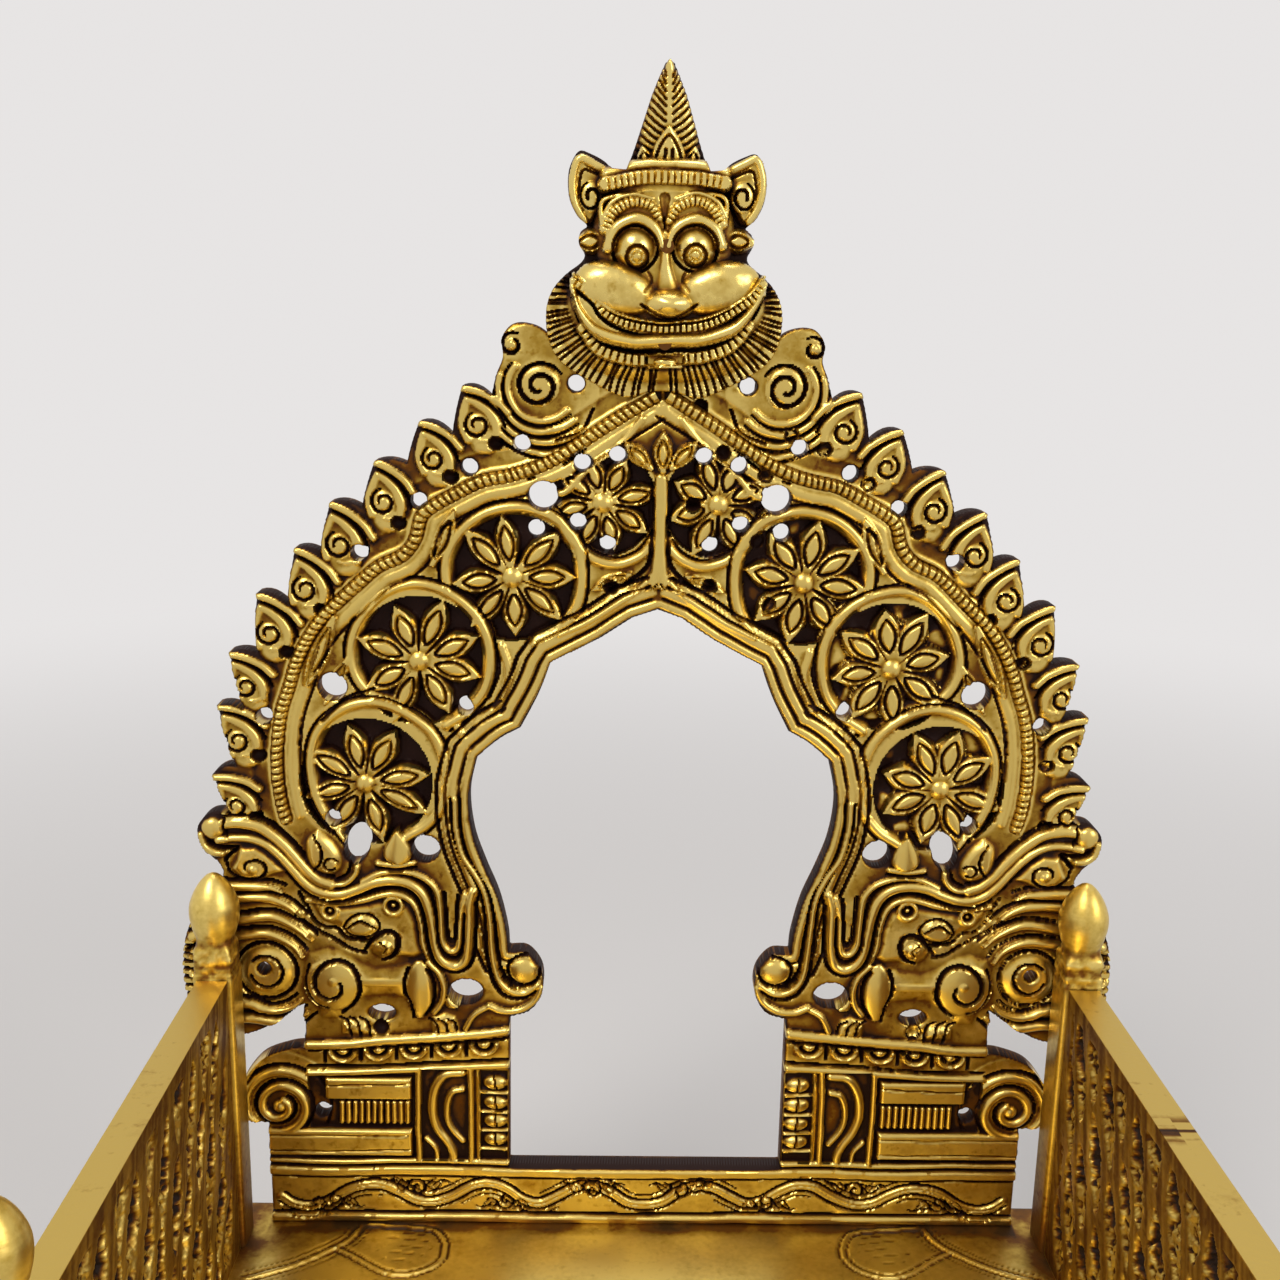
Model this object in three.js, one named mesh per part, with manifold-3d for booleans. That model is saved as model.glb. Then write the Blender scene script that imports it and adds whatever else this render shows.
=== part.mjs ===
// Brass throne for a small household deity: a pierced back arch with a guardian mask,
// carved side panels between four posts with bud finials, a seat plate and a stepped plinth.
// Millimetres, +Z up, the front faces -Y. The frame is moved at the end so that the origin
// is the centre of the footprint, on the surface that the feet stand on.
import * as THREE from 'three';
import { mergeVertices } from 'three/addons/utils/BufferGeometryUtils.js';
import Module from 'manifold-3d';

const wasm = await Module();
wasm.setup();

// Driving dimensions
const archHeight = 226;
const archHalfWidth = 92;
const postSpacing = 167;
const postDepthSpacing = 102;
const seatThickness = 4;
const plinthHeight = 50;
const footHeight = 13;

// Fits and overruns
const slidingClearance = 0.3;
const mitreGap = 0.15;
const cutOverrun = 2;
const bury = 0.6;
const bearingGap = 0.03;

// Arch, front to back
const archThickness = 4.2;
const plateThickness = 3.2;
const recessFloor = 1.5;
const barHeight = 12.6;
const barProud = 1.6;
const footMouldingHeight = 2.4;
const footMouldingProud = 2.2;
const reliefHeight = 1;
const ropeWidth = 3;
const ropeHeight = 1.4;
const borderWidth = 1.9;
const borderInset = 1.15;
const vineWidth = 2;
const hoopWidth = 1.7;
const drillRadius = 1.6;
const largeDrillRadius = 2.7;
const curlHoleReach = 3.4;

// Rosettes, trefoil and leaf bosses
const rosetteRadius = 11.2;
const smallRosetteRadius = 9.4;
const petalWidth = 3.9;
const petalHeight = 1.1;
const petalCount = 8;
const rosetteBossRadius = 1.9;
const rosetteBossHeight = 2;
const hoopRadius = 12.2;
const hoopSteps = 10;
const leafBossRadius = 1.9;
const leafBossHeight = 0.9;
const leafInset = 2.5;
const trefoilPetalLength = 9;
const shoulderScrollRadius = 5.2;
const shoulderHoopRadius = 8.2;
const haunchRadius = 5;
const bracketScrollRadius = 3.4;

// Tangs that hold the arch to the rear apron
const tangWidth = 9;
const tangThickness = 2;
const tangDrop = 12;
const tangShares = [-0.5, 0, 0.5];

// Guardian mask
const maskBaseThickness = 2;
const skullDepth = 8.5;
const cheekRadius = 5.6;
const eyeRadius = 4.2;
const pupilRadius = 1.7;
const pupilDepth = 0.7;
const browThickness = 1.5;
const lipThickness = 1.4;
const crownBandThickness = 2;
const crownBandHeight = 4;
const earThickness = 2.8;
const earRelief = 1.2;
const earStudRadius = 2.3;
const spireThickness = 4.4;
const beardRelief = 2.6;
const beardStrandWidth = 1.5;
const beardStrandCount = 11;
const rivetRadius = 1.2;
const rivetHeadRadius = 2.4;
const rivetHeadHeight = 1.1;
const rivetReach = 2.6;
const eyeFrontShare = 0.5;
const noseReliefShare = 1.07;
const chinReliefShare = 0.6;
const skullWidthShare = 0.93;
const cheekHeightShare = 0.86;
const cheekDepthShare = 0.8;
const spireSpineShare = 0.85;
const spireLeafShares = [0.5, 0.5];
const strandShares = [0.34, 0.03];

// Posts and side panels
const postSetback = 5.4;
const postSide = 7.6;
const postShaftHeight = 65.4;
const postShoulder = 1.2;
const budRadius = 4.6;
const budHeight = 13;
const tenonRadius = 2.2;
const tenonReach = 11;
const panelHeight = 58;
const panelThickness = 5.8;
const panelRailHeight = 4.5;
const panelStile = 5;
const slotDepth = 2.2;
const slotWidth = 5;
const slotPitch = 9.2;
const slotLean = 18;
const slotSplitShares = [0.42, 0.6];
const pegRadius = 1.5;
const pegReach = 2.2;
const pegHeightShares = [0.2, 0.8];

// Seat plate
const seatSideMargin = 6;
const seatFrontMargin = 6;
const seatRearMargin = 1.8;
const seatEdgeChamfer = 0.8;
const engravingDepth = 0.5;
const engravingWidth = 0.7;
const loopLength = 19;
const loopWidth = 9;
const loopInset = 32;
const loopForward = 6;
const ropeLineLength = 19;
const ropeLineSlope = 0.65;

// Plinth aprons, corner blocks and feet
const apronWall = 3;
const corniceProjection = 5;
const corniceHeight = 6;
const seatOverhang = 1;
const baseProjection = 9;
const baseHeight = 9;
const torusRadius = 2.4;
const torusSteps = 3;
const blockSide = 12;
const screwRadius = 1.5;
const screwHeadRadius = 2.8;
const screwHeadHeight = 1.8;
const screwCrownShare = 0.6;
const screwGrip = 2;
const screwLevelShares = [0.62, 0.42];
const footRadius = 7;
const footNeckRadius = 4.2;
const studRadius = 2;
const studReach = 9;

// Facets round a turned or drilled form
const fineFacets = 14;
const turnedFacets = 10;
const mediumFacets = 10;
const shaftFacets = 8;
const coarseFacets = 6;
const rodFacets = 5;
const browSteps = 5;
const lipSteps = 10;
const crownSteps = 6;
const curveSteps = 2;

// Levels and planes worked out from the sizes above
const archFaceY = 0;
const archBackY = archFaceY + archThickness;
const plateFaceY = archBackY - plateThickness;
const recessY = archBackY - recessFloor;
const reliefY = plateFaceY - reliefHeight;
const seatRearY = archBackY + seatRearMargin;
const rearPostY = archFaceY - postSetback;
const frontPostY = rearPostY - postDepthSpacing;
const seatFrontY = frontPostY - postSide / 2 - seatFrontMargin;
const seatHalfWidth = (postSpacing + postSide) / 2 + seatSideMargin;
const seatTop = footHeight + plinthHeight + seatThickness;
const plinthTop = footHeight + plinthHeight;
const apronOuterInset = seatOverhang + corniceProjection;
const innerHalfWidth = seatHalfWidth - apronOuterInset;
const innerRearY = seatRearY - apronOuterInset;
const innerFrontY = seatFrontY + apronOuterInset;

// Outline of the arch as shares of its half width and of its height, right half
const crestShares = [[0, 0.885], [0.11, 0.87], [0.165, 0.823], [0.207, 0.788]];
const shoulderShares = [
  [0.207, 0.788], [0.245, 0.8], [0.29, 0.802], [0.315, 0.79], [0.312, 0.776], [0.327, 0.76], [0.334, 0.745],
];
const toothTipShares = [
  [0.391, 0.753], [0.476, 0.724], [0.565, 0.692], [0.655, 0.658], [0.728, 0.62],
  [0.808, 0.582], [0.868, 0.532], [0.898, 0.486], [0.915, 0.425],
];
const toothNotchShares = [
  [0.334, 0.745], [0.412, 0.714], [0.502, 0.69], [0.593, 0.654], [0.677, 0.617],
  [0.746, 0.572], [0.81, 0.531], [0.835, 0.484], [0.853, 0.435], [0.88, 0.392],
];
const snoutShares = [
  [0.88, 0.392], [0.925, 0.39], [0.953, 0.376], [0.94, 0.358], [0.912, 0.345], [0.905, 0.333],
  [0.94, 0.312], [0.982, 0.286], [1, 0.25], [0.99, 0.215], [0.955, 0.193], [0.9, 0.183],
  [0.836, 0.189], [0.745, 0.212],
];
const bracketShares = [
  [0.745, 0.172], [0.78, 0.17], [0.837, 0.161], [0.874, 0.144], [0.892, 0.128],
  [0.892, 0.113], [0.87, 0.101], [0.83, 0.097],
];
const pillarInnerShare = 0.301;
const slabOuterShare = 0.83;

// Keyhole opening, right half, as the same shares
const openingCrownShares = [[0, 0.573], [0.05, 0.566], [0.116, 0.548], [0.216, 0.527]];
const openingWaistShares = [[0.216, 0.527], [0.24, 0.5], [0.277, 0.47]];
const openingHipShares = [[0.277, 0.47], [0.32, 0.46], [0.367, 0.444]];
const openingBellyShares = [
  [0.367, 0.444], [0.384, 0.41], [0.376, 0.375], [0.352, 0.345],
  [0.324, 0.316], [0.306, 0.285], [0.302, 0.266],
];
const openingCurlShares = [
  [0.302, 0.266], [0.262, 0.265], [0.232, 0.249], [0.23, 0.228], [0.255, 0.21], [0.301, 0.203],
];

// Places of the ornament, right half, as the same shares
const ropeShares = [
  [0.012, 0.748], [0.118, 0.721], [0.198, 0.699], [0.277, 0.684], [0.356, 0.677], [0.424, 0.662],
  [0.475, 0.648], [0.498, 0.62], [0.627, 0.582], [0.722, 0.535], [0.768, 0.481], [0.782, 0.43],
  [0.758, 0.372],
];
const bandInset = 4;
const rosetteShares = [[0.117, 0.66], [0.292, 0.599], [0.483, 0.527], [0.598, 0.419]];
const hoopShares = [[0.3, 0.594], [0.483, 0.525], [0.598, 0.423]];
const stemShares = [[0, 0.693], [0.012, 0.655], [0.004, 0.615], [0, 0.585]];
const shoulderScrollShare = [0.239, 0.752];
const shoulderBudShare = [0.295, 0.785];
const shoulderTurnShares = [0.02, -0.5];
const tailTurnShares = [0, 0.98];
const bracketTurnShares = [0.1, 0.8];
const trefoilShare = 0.702;
const trefoilAngleShares = [-0.16, 0, 0.16];
const smallHoleShares = [
  [0.169, 0.756], [0.275, 0.708], [0.379, 0.688], [0.48, 0.66], [0.6, 0.617], [0.803, 0.477],
  [0.086, 0.7], [0.156, 0.693], [0.163, 0.645], [0.247, 0.638], [0.103, 0.627], [0.39, 0.487],
  [0.668, 0.387], [0.711, 0.109],
];
const largeHoleShares = [[0.233, 0.666], [0.662, 0.503], [0.476, 0.36], [0.62, 0.363]];
const hoofHoleShare = [0.576, 0.206];
const curlHoleShare = [0.395, 0.227];

// Makara neck, elephant and pillar ornament, as the same shares
const neckShares = [
  [0.935, 0.374], [0.84, 0.366], [0.735, 0.322], [0.67, 0.316], [0.6, 0.328], [0.53, 0.322],
  [0.487, 0.292], [0.475, 0.25],
];
const trunkShares = [[0.52, 0.29], [0.5, 0.245], [0.46, 0.23], [0.43, 0.25], [0.425, 0.3]];
const elephantShares = [
  [0.73, 0.3], [0.62, 0.305], [0.56, 0.296], [0.525, 0.27], [0.5, 0.235], [0.44, 0.19],
  [0.52, 0.186], [0.56, 0.2], [0.6, 0.2], [0.63, 0.186], [0.72, 0.186], [0.74, 0.25],
];
const haunchShare = [0.69, 0.238];
const eyeShare = [0.632, 0.286];
const earCurlShare = [0.585, 0.272];
const tailRingShare = [0.845, 0.238];
const tailRingRadiusShares = [0.5, 1];
const tailRingRadius = 9.5;
const bracketScrollShare = [0.82, 0.114];
const bracketRingRadius = 5.4;
const finialShare = [0.555, 0.352];
const finialHeight = 8;
const finialWidth = 5.4;

// Pillar courses, heights as shares of the pillar, plan as shares of the half width
const courseRelief = 0.7;
const courseShares = [
  { from: 0.775, to: 0.95, inner: 0.31, outer: 0.735 },
  { from: 0.5, to: 0.66, inner: 0.53, outer: 0.72 },
  { from: 0.3, to: 0.44, inner: 0.53, outer: 0.7 },
  { from: 0.06, to: 0.22, inner: 0.53, outer: 0.82 },
];
const pillarPanelShares = { from: 0.03, to: 0.72, inner: 0.4, outer: 0.5 };
const knotPanelShares = { from: 0.02, to: 0.74, inner: 0.31, outer: 0.375 };
const knotCount = 4;
const vineWaves = 3;
const vineAmplitudeShare = 0.17;
const vineStepsPerWave = 4;

// Mask outlines as shares of the arch's half width and height, right half
const browLineShares = [[0, 0.922], [0.1, 0.92], [0.135, 0.87]];
const beardShares = [
  [0.15, 0.868], [0.19, 0.848], [0.219, 0.83], [0.228, 0.81], [0.226, 0.79], [0.205, 0.772],
  [0.165, 0.759], [0.118, 0.75], [0.07, 0.746], [0, 0.752],
];
const earShares = [
  [0.095, 0.912], [0.135, 0.927], [0.165, 0.932], [0.185, 0.918], [0.19, 0.903],
  [0.183, 0.888], [0.165, 0.876], [0.135, 0.873], [0.1, 0.88],
];
const spireBaseShare = 0.918;
const spireHalfWidthShare = 0.077;
const spireBarbs = 6;
const spireBarbShare = 0.12;
const skullShare = [0.168, 0.838, 0.082];
const cheekShare = [0.09, 0.828];
const eyeSocketShare = [0.06, 0.856];
const pupilShare = [0.062, 0.852];
const earStudShare = [0.14, 0.864];
const earScrollShare = [0.145, 0.898];
const noseShares = [[0, 0.842], [0.055, 0.822], [0, 0.81], [-0.055, 0.822]];
const chinShares = [[0.045, 0.792], [0.035, 0.774], [0, 0.768], [-0.035, 0.774], [-0.045, 0.792]];
const browShares = [[0.012, 0.868], [0.035, 0.886], [0.075, 0.89], [0.105, 0.876]];
const lipShares = [[0.185, 0.84], [0.15, 0.815], [0.08, 0.8], [0, 0.795]];
const crownShares = [[0.122, 0.912], [0.07, 0.917], [0, 0.918]];
const rivetShares = [0.79, 0.862];

// Metal finishes
const brass = { metalness: 1, roughness: 0.34 };
const agedBrass = new THREE.MeshStandardMaterial({ ...brass, color: 0xb08a35 });
const polishedBrass = new THREE.MeshStandardMaterial({ ...brass, color: 0xd2ad4b, roughness: 0.2 });
const satinBrass = new THREE.MeshStandardMaterial({ ...brass, color: 0xb79a4e, roughness: 0.45 });
const screwBrass = new THREE.MeshStandardMaterial({ ...brass, color: 0xa38a45, roughness: 0.4 });

// Solids and their joins

// Triangles in the order that makes the enclosed volume positive
function facingOut(positions, triangles) {
  const corner = (i) => new THREE.Vector3().fromArray(positions, triangles[i] * 3);
  let volume = 0;
  for (let i = 0; i < triangles.length; i += 3) {
    volume += corner(i).dot(corner(i + 1).cross(corner(i + 2)));
  }
  return volume < 0 ? triangles.reverse() : triangles;
}

function solidOf(geometry) {
  const bare = geometry.clone();
  bare.deleteAttribute('normal');
  bare.deleteAttribute('uv');
  const welded = mergeVertices(bare);
  const vertProperties = Float32Array.from(welded.attributes.position.array);
  const triVerts = facingOut(vertProperties, Uint32Array.from(welded.index.array));
  return new wasm.Manifold(new wasm.Mesh({ numProp: 3, vertProperties, triVerts }));
}

function geometryOf(solid) {
  const { vertProperties, triVerts } = solid.getMesh();
  const geometry = new THREE.BufferGeometry();
  geometry.setAttribute('position', new THREE.BufferAttribute(vertProperties, 3));
  geometry.setIndex(new THREE.BufferAttribute(triVerts, 1));
  geometry.computeVertexNormals();
  return geometry;
}

function fuse(solids) {
  let layer = solids;
  while (layer.length > 1) {
    const next = [];
    for (let i = 0; i < layer.length; i += 2) {
      next.push(i + 1 < layer.length ? layer[i].add(layer[i + 1]) : layer[i]);
    }
    layer = next;
  }
  return layer[0];
}

function cutAll(solid, cutters) {
  return cutters.length ? solid.subtract(fuse(cutters)) : solid;
}

// Flat forms, drawn in X and Z and thickened along Y

// Turns a form's Y axis up to Z, and its thickness from Z to Y
const facing = new THREE.Matrix4().makeRotationX(Math.PI / 2);

// A shape whose outline runs anticlockwise, so that its holes are turned to suit
function shapeOf(points, holes = []) {
  const outline = THREE.ShapeUtils.isClockWise(points) ? [...points].reverse() : points;
  const shape = new THREE.Shape(outline);
  shape.holes = holes.map((loop) => new THREE.Path(loop));
  return shape;
}

function prism(points, backY, frontY, holes = []) {
  const shape = shapeOf(points, holes);
  const options = { depth: backY - frontY, bevelEnabled: false, steps: 1 };
  const geometry = new THREE.ExtrudeGeometry(shape, options).applyMatrix4(facing);
  return solidOf(geometry.translate(0, backY, 0));
}

function ring(centre, radiusX, radiusZ, facets) {
  return Array.from({ length: facets }, (_, i) => {
    const angle = (i / facets) * Math.PI * 2;
    const reach = [Math.cos(angle) * radiusX, Math.sin(angle) * radiusZ];
    return new THREE.Vector2(...reach).add(centre);
  });
}

// A bore whose flats, not its corners, stand at the radius, so that a round shaft clears it
function bore(centre, radius, facets = shaftFacets) {
  const reach = radius / Math.cos(Math.PI / facets);
  return ring(centre, reach, reach, facets);
}

function flatPoints(pairs) {
  return pairs.map(([u, v]) => new THREE.Vector2(u, v));
}

function rectangle(left, right, bottom, top) {
  return flatPoints([[left, bottom], [right, bottom], [right, top], [left, top]]);
}

function drilled(centre, radiusX, radiusZ = radiusX, facets = coarseFacets) {
  return prism(ring(centre, radiusX, radiusZ, facets), archBackY + cutOverrun, archFaceY - cutOverrun);
}

function archPoint([x, z], side = 1) {
  return new THREE.Vector2(x * archHalfWidth * side, z * archHeight);
}

function archPoints(shares, side = 1) {
  return shares.map((share) => archPoint(share, side));
}

function smooth(points, stepsPerSpan = curveSteps) {
  return new THREE.SplineCurve(points).getPoints((points.length - 1) * stepsPerSpan);
}

const ridgeSectionShares = [[-0.5, 0], [0.5, 0], [0, 1]];

// A ridge that follows a line of points, its section given as shares of width and rise
function ridge(points, width, backY, frontY) {
  const positions = [];
  const index = [];
  const last = points.length - 1;
  points.forEach((point, i) => {
    const before = points[Math.max(i - 1, 0)];
    const after = points[Math.min(i + 1, last)];
    const across = new THREE.Vector2(before.y - after.y, after.x - before.x).normalize();
    ridgeSectionShares.forEach(([share, rise]) => {
      const reach = share * width;
      const y = backY + rise * (frontY - backY);
      positions.push(point.x + across.x * reach, y, point.y + across.y * reach);
    });
  });
  const count = ridgeSectionShares.length;
  for (let i = 0; i < last; i += 1) {
    for (let k = 0; k < count; k += 1) {
      const a = i * count + k;
      const b = i * count + ((k + 1) % count);
      index.push(a, a + count, b, b, a + count, b + count);
    }
  }
  const end = last * count;
  for (let k = 2; k < count; k += 1) {
    index.push(0, k - 1, k, end, end + k, end + k - 1);
  }
  const geometry = new THREE.BufferGeometry();
  geometry.setAttribute('position', new THREE.Float32BufferAttribute(positions, 3));
  geometry.setIndex(index);
  return solidOf(geometry);
}

// A turned form on an axis along Y, given as [radius, y] pairs from back to front
function turned(profile, centre, facets) {
  const points = profile.map(([radius, y]) => new THREE.Vector2(radius, y));
  const geometry = new THREE.LatheGeometry(points, facets).translate(centre.x, 0, centre.y);
  return solidOf(geometry);
}

const bossCrownShare = 0.5;

// A low boss with sloping sides and a flat crown
function boss(centre, radius, backY, frontY, facets = coarseFacets) {
  const profile = [[0, backY], [radius, backY], [radius * bossCrownShare, frontY], [0, frontY]];
  return turned(profile, centre, facets);
}

// A pointed boss
function cone(centre, radius, backY, frontY, facets = coarseFacets) {
  return turned([[0, backY], [radius, backY], [0, frontY]], centre, facets);
}

// Points round a centre, from one share of a turn on through another
function arc(centre, radius, [startShare, sweepShare], side = 1, steps = mediumFacets) {
  return Array.from({ length: steps + 1 }, (_, i) => {
    const angle = (startShare + (sweepShare * i) / steps) * Math.PI * 2;
    const across = side * Math.cos(angle) * radius;
    return new THREE.Vector2(centre.x - across, centre.y + Math.sin(angle) * radius);
  });
}

function offsetLine(points, distance) {
  return points.map((point, i) => {
    const before = points[Math.max(i - 1, 0)];
    const after = points[Math.min(i + 1, points.length - 1)];
    const across = new THREE.Vector2(before.y - after.y, after.x - before.x).normalize();
    return new THREE.Vector2(point.x + across.x * distance, point.y + across.y * distance);
  });
}

const sides = [1, -1];

// Back arch

const tipLiftShare = 0.18;

function toothPoints() {
  return toothTipShares.flatMap((tipShare, i) => {
    const from = archPoint(toothNotchShares[i]);
    const tip = archPoint(tipShare);
    const lift = (tip.x - from.x) * tipLiftShare;
    const rise = new THREE.Vector2((from.x + tip.x) / 2, Math.max(from.y, tip.y) + lift);
    return new THREE.QuadraticBezierCurve(from, rise, tip).getPoints(curveSteps);
  });
}

function archRightOutline() {
  const crest = archPoints(crestShares).slice(0, -1);
  const shoulder = smooth(archPoints(shoulderShares)).slice(0, -1);
  const snout = smooth(archPoints(snoutShares), 1);
  const bracket = archPoints(bracketShares);
  const slabFoot = new THREE.Vector2(slabOuterShare * archHalfWidth, 0);
  return [...crest, ...shoulder, ...toothPoints(), ...snout, ...bracket, slabFoot];
}

function openingRightOutline() {
  const crown = archPoints(openingCrownShares).slice(0, -1);
  const waist = archPoints(openingWaistShares).slice(0, -1);
  const hip = archPoints(openingHipShares).slice(0, -1);
  const belly = smooth(archPoints(openingBellyShares)).slice(0, -1);
  const curl = smooth(archPoints(openingCurlShares));
  return [...crown, ...waist, ...hip, ...belly, ...curl];
}

function mirroredLoop(right) {
  const left = right.filter((point) => point.x > 0).map((point) => new THREE.Vector2(-point.x, point.y));
  return [...right, ...left.reverse()];
}

function pillarEdge(z) {
  return new THREE.Vector2(pillarInnerShare * archHalfWidth, z);
}

function archPlate() {
  const outer = mirroredLoop(archRightOutline());
  const inner = mirroredLoop([...openingRightOutline(), pillarEdge(barHeight)]);
  return prism(outer, archBackY, plateFaceY, [inner]);
}

function rosetteSize(i) {
  return i === 0 ? smallRosetteRadius : rosetteRadius;
}

function recessPockets() {
  const pockets = [];
  for (const side of sides) {
    hoopShares.forEach((share) => {
      const reach = hoopRadius - hoopWidth / 2;
      const inside = ring(archPoint(share, side), reach, reach, hoopSteps);
      pockets.push(prism(inside, recessY, archFaceY - cutOverrun));
    });
    const topCentre = archPoint(rosetteShares[0], side);
    const top = ring(topCentre, smallRosetteRadius, smallRosetteRadius, mediumFacets);
    pockets.push(prism(top, recessY, archFaceY - cutOverrun));
  }
  return pockets;
}

const petalShares = [[0.14, 0], [0.62, 0.5], [1, 0], [0.62, -0.5]];
const petalCrestShare = 0.6;

// One pointed petal: a low roof over a leaf outline
function petal(centre, angle, length, width, backY, frontY) {
  const along = new THREE.Vector2(Math.cos(angle), Math.sin(angle));
  const across = new THREE.Vector2(-along.y, along.x);
  const place = ([u, v], y) => {
    const x = centre.x + along.x * u * length + across.x * v * width;
    const z = centre.y + along.y * u * length + across.y * v * width;
    return [x, y, z];
  };
  const count = petalShares.length;
  const rim = petalShares.map((share) => place(share, backY));
  const crest = place([petalCrestShare, 0], frontY);
  const index = [];
  for (let i = 0; i < count; i += 1) {
    index.push(i, count, (i + 1) % count);
  }
  for (let i = 2; i < count; i += 1) {
    index.push(0, i - 1, i);
  }
  const geometry = new THREE.BufferGeometry();
  geometry.setAttribute('position', new THREE.Float32BufferAttribute([...rim, crest].flat(), 3));
  geometry.setIndex(index);
  return solidOf(geometry);
}

const petalTurnShare = 0.3;

function rosette(i, side) {
  const centre = archPoint(rosetteShares[i], side);
  const backY = recessY + bury;
  const frontY = plateFaceY - petalHeight / 2;
  const parts = [cone(centre, rosetteBossRadius, backY, plateFaceY - rosetteBossHeight / 2)];
  for (let k = 0; k < petalCount; k += 1) {
    const angle = ((k + petalTurnShare * side) / petalCount) * Math.PI * 2;
    parts.push(petal(centre, angle, rosetteSize(i), petalWidth, backY, frontY));
  }
  return parts;
}

function trefoil() {
  const centre = new THREE.Vector2(0, trefoilShare * archHeight);
  const petals = trefoilAngleShares.map((turn) => {
    const angle = Math.PI / 2 + turn * Math.PI * 2;
    return petal(centre, angle, trefoilPetalLength, petalWidth, plateFaceY + bury, reliefY);
  });
  const stem = smooth(archPoints(stemShares));
  return [...petals, ridge(stem, vineWidth, recessY + bury, reliefY)];
}

function ropeLine(side) {
  return archPoints(ropeShares, side);
}

function borderLine(side, distance) {
  const stretches = [openingCrownShares, openingWaistShares, openingHipShares, openingBellyShares];
  const line = stretches.flatMap((shares, i) => archPoints(i ? shares.slice(1) : shares));
  return offsetLine(line, distance).map((point) => new THREE.Vector2(Math.max(point.x, 0) * side, point.y));
}

function crestBands(side) {
  const rope = ropeLine(side);
  const band = offsetLine(rope, -side * bandInset);
  return [
    ridge(rope, ropeWidth, plateFaceY + bury, plateFaceY - ropeHeight),
    ridge(band, borderWidth, plateFaceY + bury, reliefY),
  ];
}

// A flat ring round each lower rosette, its inner wall flush with the recess
function vineHoops(side) {
  return hoopShares.map((share) => {
    const centre = archPoint(share, side);
    const outer = ring(centre, hoopRadius + hoopWidth / 2, hoopRadius + hoopWidth / 2, hoopSteps);
    const inner = ring(centre, hoopRadius - hoopWidth / 2, hoopRadius - hoopWidth / 2, hoopSteps);
    return prism(outer, plateFaceY + bury, reliefY, [inner]);
  });
}

function leafBosses(side) {
  return toothTipShares.map((tip, i) => {
    const notch = archPoint(toothNotchShares[i + 1], side);
    const point = archPoint(tip, side);
    const centre = point.lerp(notch, 0.5);
    centre.x -= side * leafInset;
    return cone(centre, leafBossRadius, plateFaceY + bury, plateFaceY - leafBossHeight);
  });
}

function shoulderScroll(side) {
  const centre = archPoint(shoulderScrollShare, side);
  const bud = archPoint(shoulderBudShare, side);
  const outer = arc(centre, shoulderHoopRadius, shoulderTurnShares, side);
  return [
    boss(centre, shoulderScrollRadius, plateFaceY + bury, plateFaceY - ropeHeight, mediumFacets),
    boss(bud, leafBossRadius, plateFaceY + bury, plateFaceY - ropeHeight),
    ridge(outer, vineWidth, plateFaceY + bury, reliefY),
  ];
}

function makaraAndElephant(side) {
  const body = prism(archPoints(elephantShares, side), plateFaceY + bury, plateFaceY - courseRelief);
  const bodyCrownY = plateFaceY - courseRelief - leafBossHeight;
  const haunch = archPoint(haunchShare, side);
  const tail = archPoint(tailRingShare, side);
  const parts = [
    ridge(archPoints(neckShares, side), vineWidth, plateFaceY + bury, plateFaceY - ropeHeight),
    ridge(archPoints(trunkShares, side), vineWidth, plateFaceY + bury, plateFaceY - ropeHeight),
    body,
    boss(haunch, haunchRadius, plateFaceY, bodyCrownY, shaftFacets),
    cone(archPoint(eyeShare, side), leafBossRadius, plateFaceY, bodyCrownY),
    cone(archPoint(earCurlShare, side), leafBossRadius, plateFaceY, bodyCrownY),
  ];
  tailRingRadiusShares.forEach((share) => {
    const line = arc(tail, tailRingRadius * share, tailTurnShares, side, shaftFacets);
    parts.push(ridge(line, vineWidth, plateFaceY + bury, reliefY));
  });
  return parts;
}

function bracketScroll(side) {
  const centre = archPoint(bracketScrollShare, side);
  const hoop = arc(centre, bracketRingRadius, bracketTurnShares, side);
  return [
    boss(centre, bracketScrollRadius, plateFaceY + bury, plateFaceY - ropeHeight),
    ridge(hoop, vineWidth, plateFaceY + bury, reliefY),
  ];
}

const finialOutlineShares = [
  [-0.5, 0], [0.5, 0], [0.36, 0.2], [0.3, 0.3], [0.42, 0.4], [0, 1],
  [-0.42, 0.4], [-0.3, 0.3], [-0.36, 0.2],
];

function neckFinial(side) {
  const foot = archPoint(finialShare, side);
  const points = finialOutlineShares.map(([u, v]) => {
    return new THREE.Vector2(foot.x + u * finialWidth, foot.y + v * finialHeight);
  });
  return [prism(points, plateFaceY + bury, reliefY)];
}

function pillarHeight() {
  return openingCurlShares[5][1] * archHeight - barHeight;
}

function course({ from, to, inner, outer }, side, proud) {
  const left = side * inner * archHalfWidth;
  const right = side * outer * archHalfWidth;
  const bottom = barHeight + from * pillarHeight();
  const top = barHeight + to * pillarHeight();
  return prism(rectangle(left, right, bottom, top), plateFaceY + bury, plateFaceY - proud);
}

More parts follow.
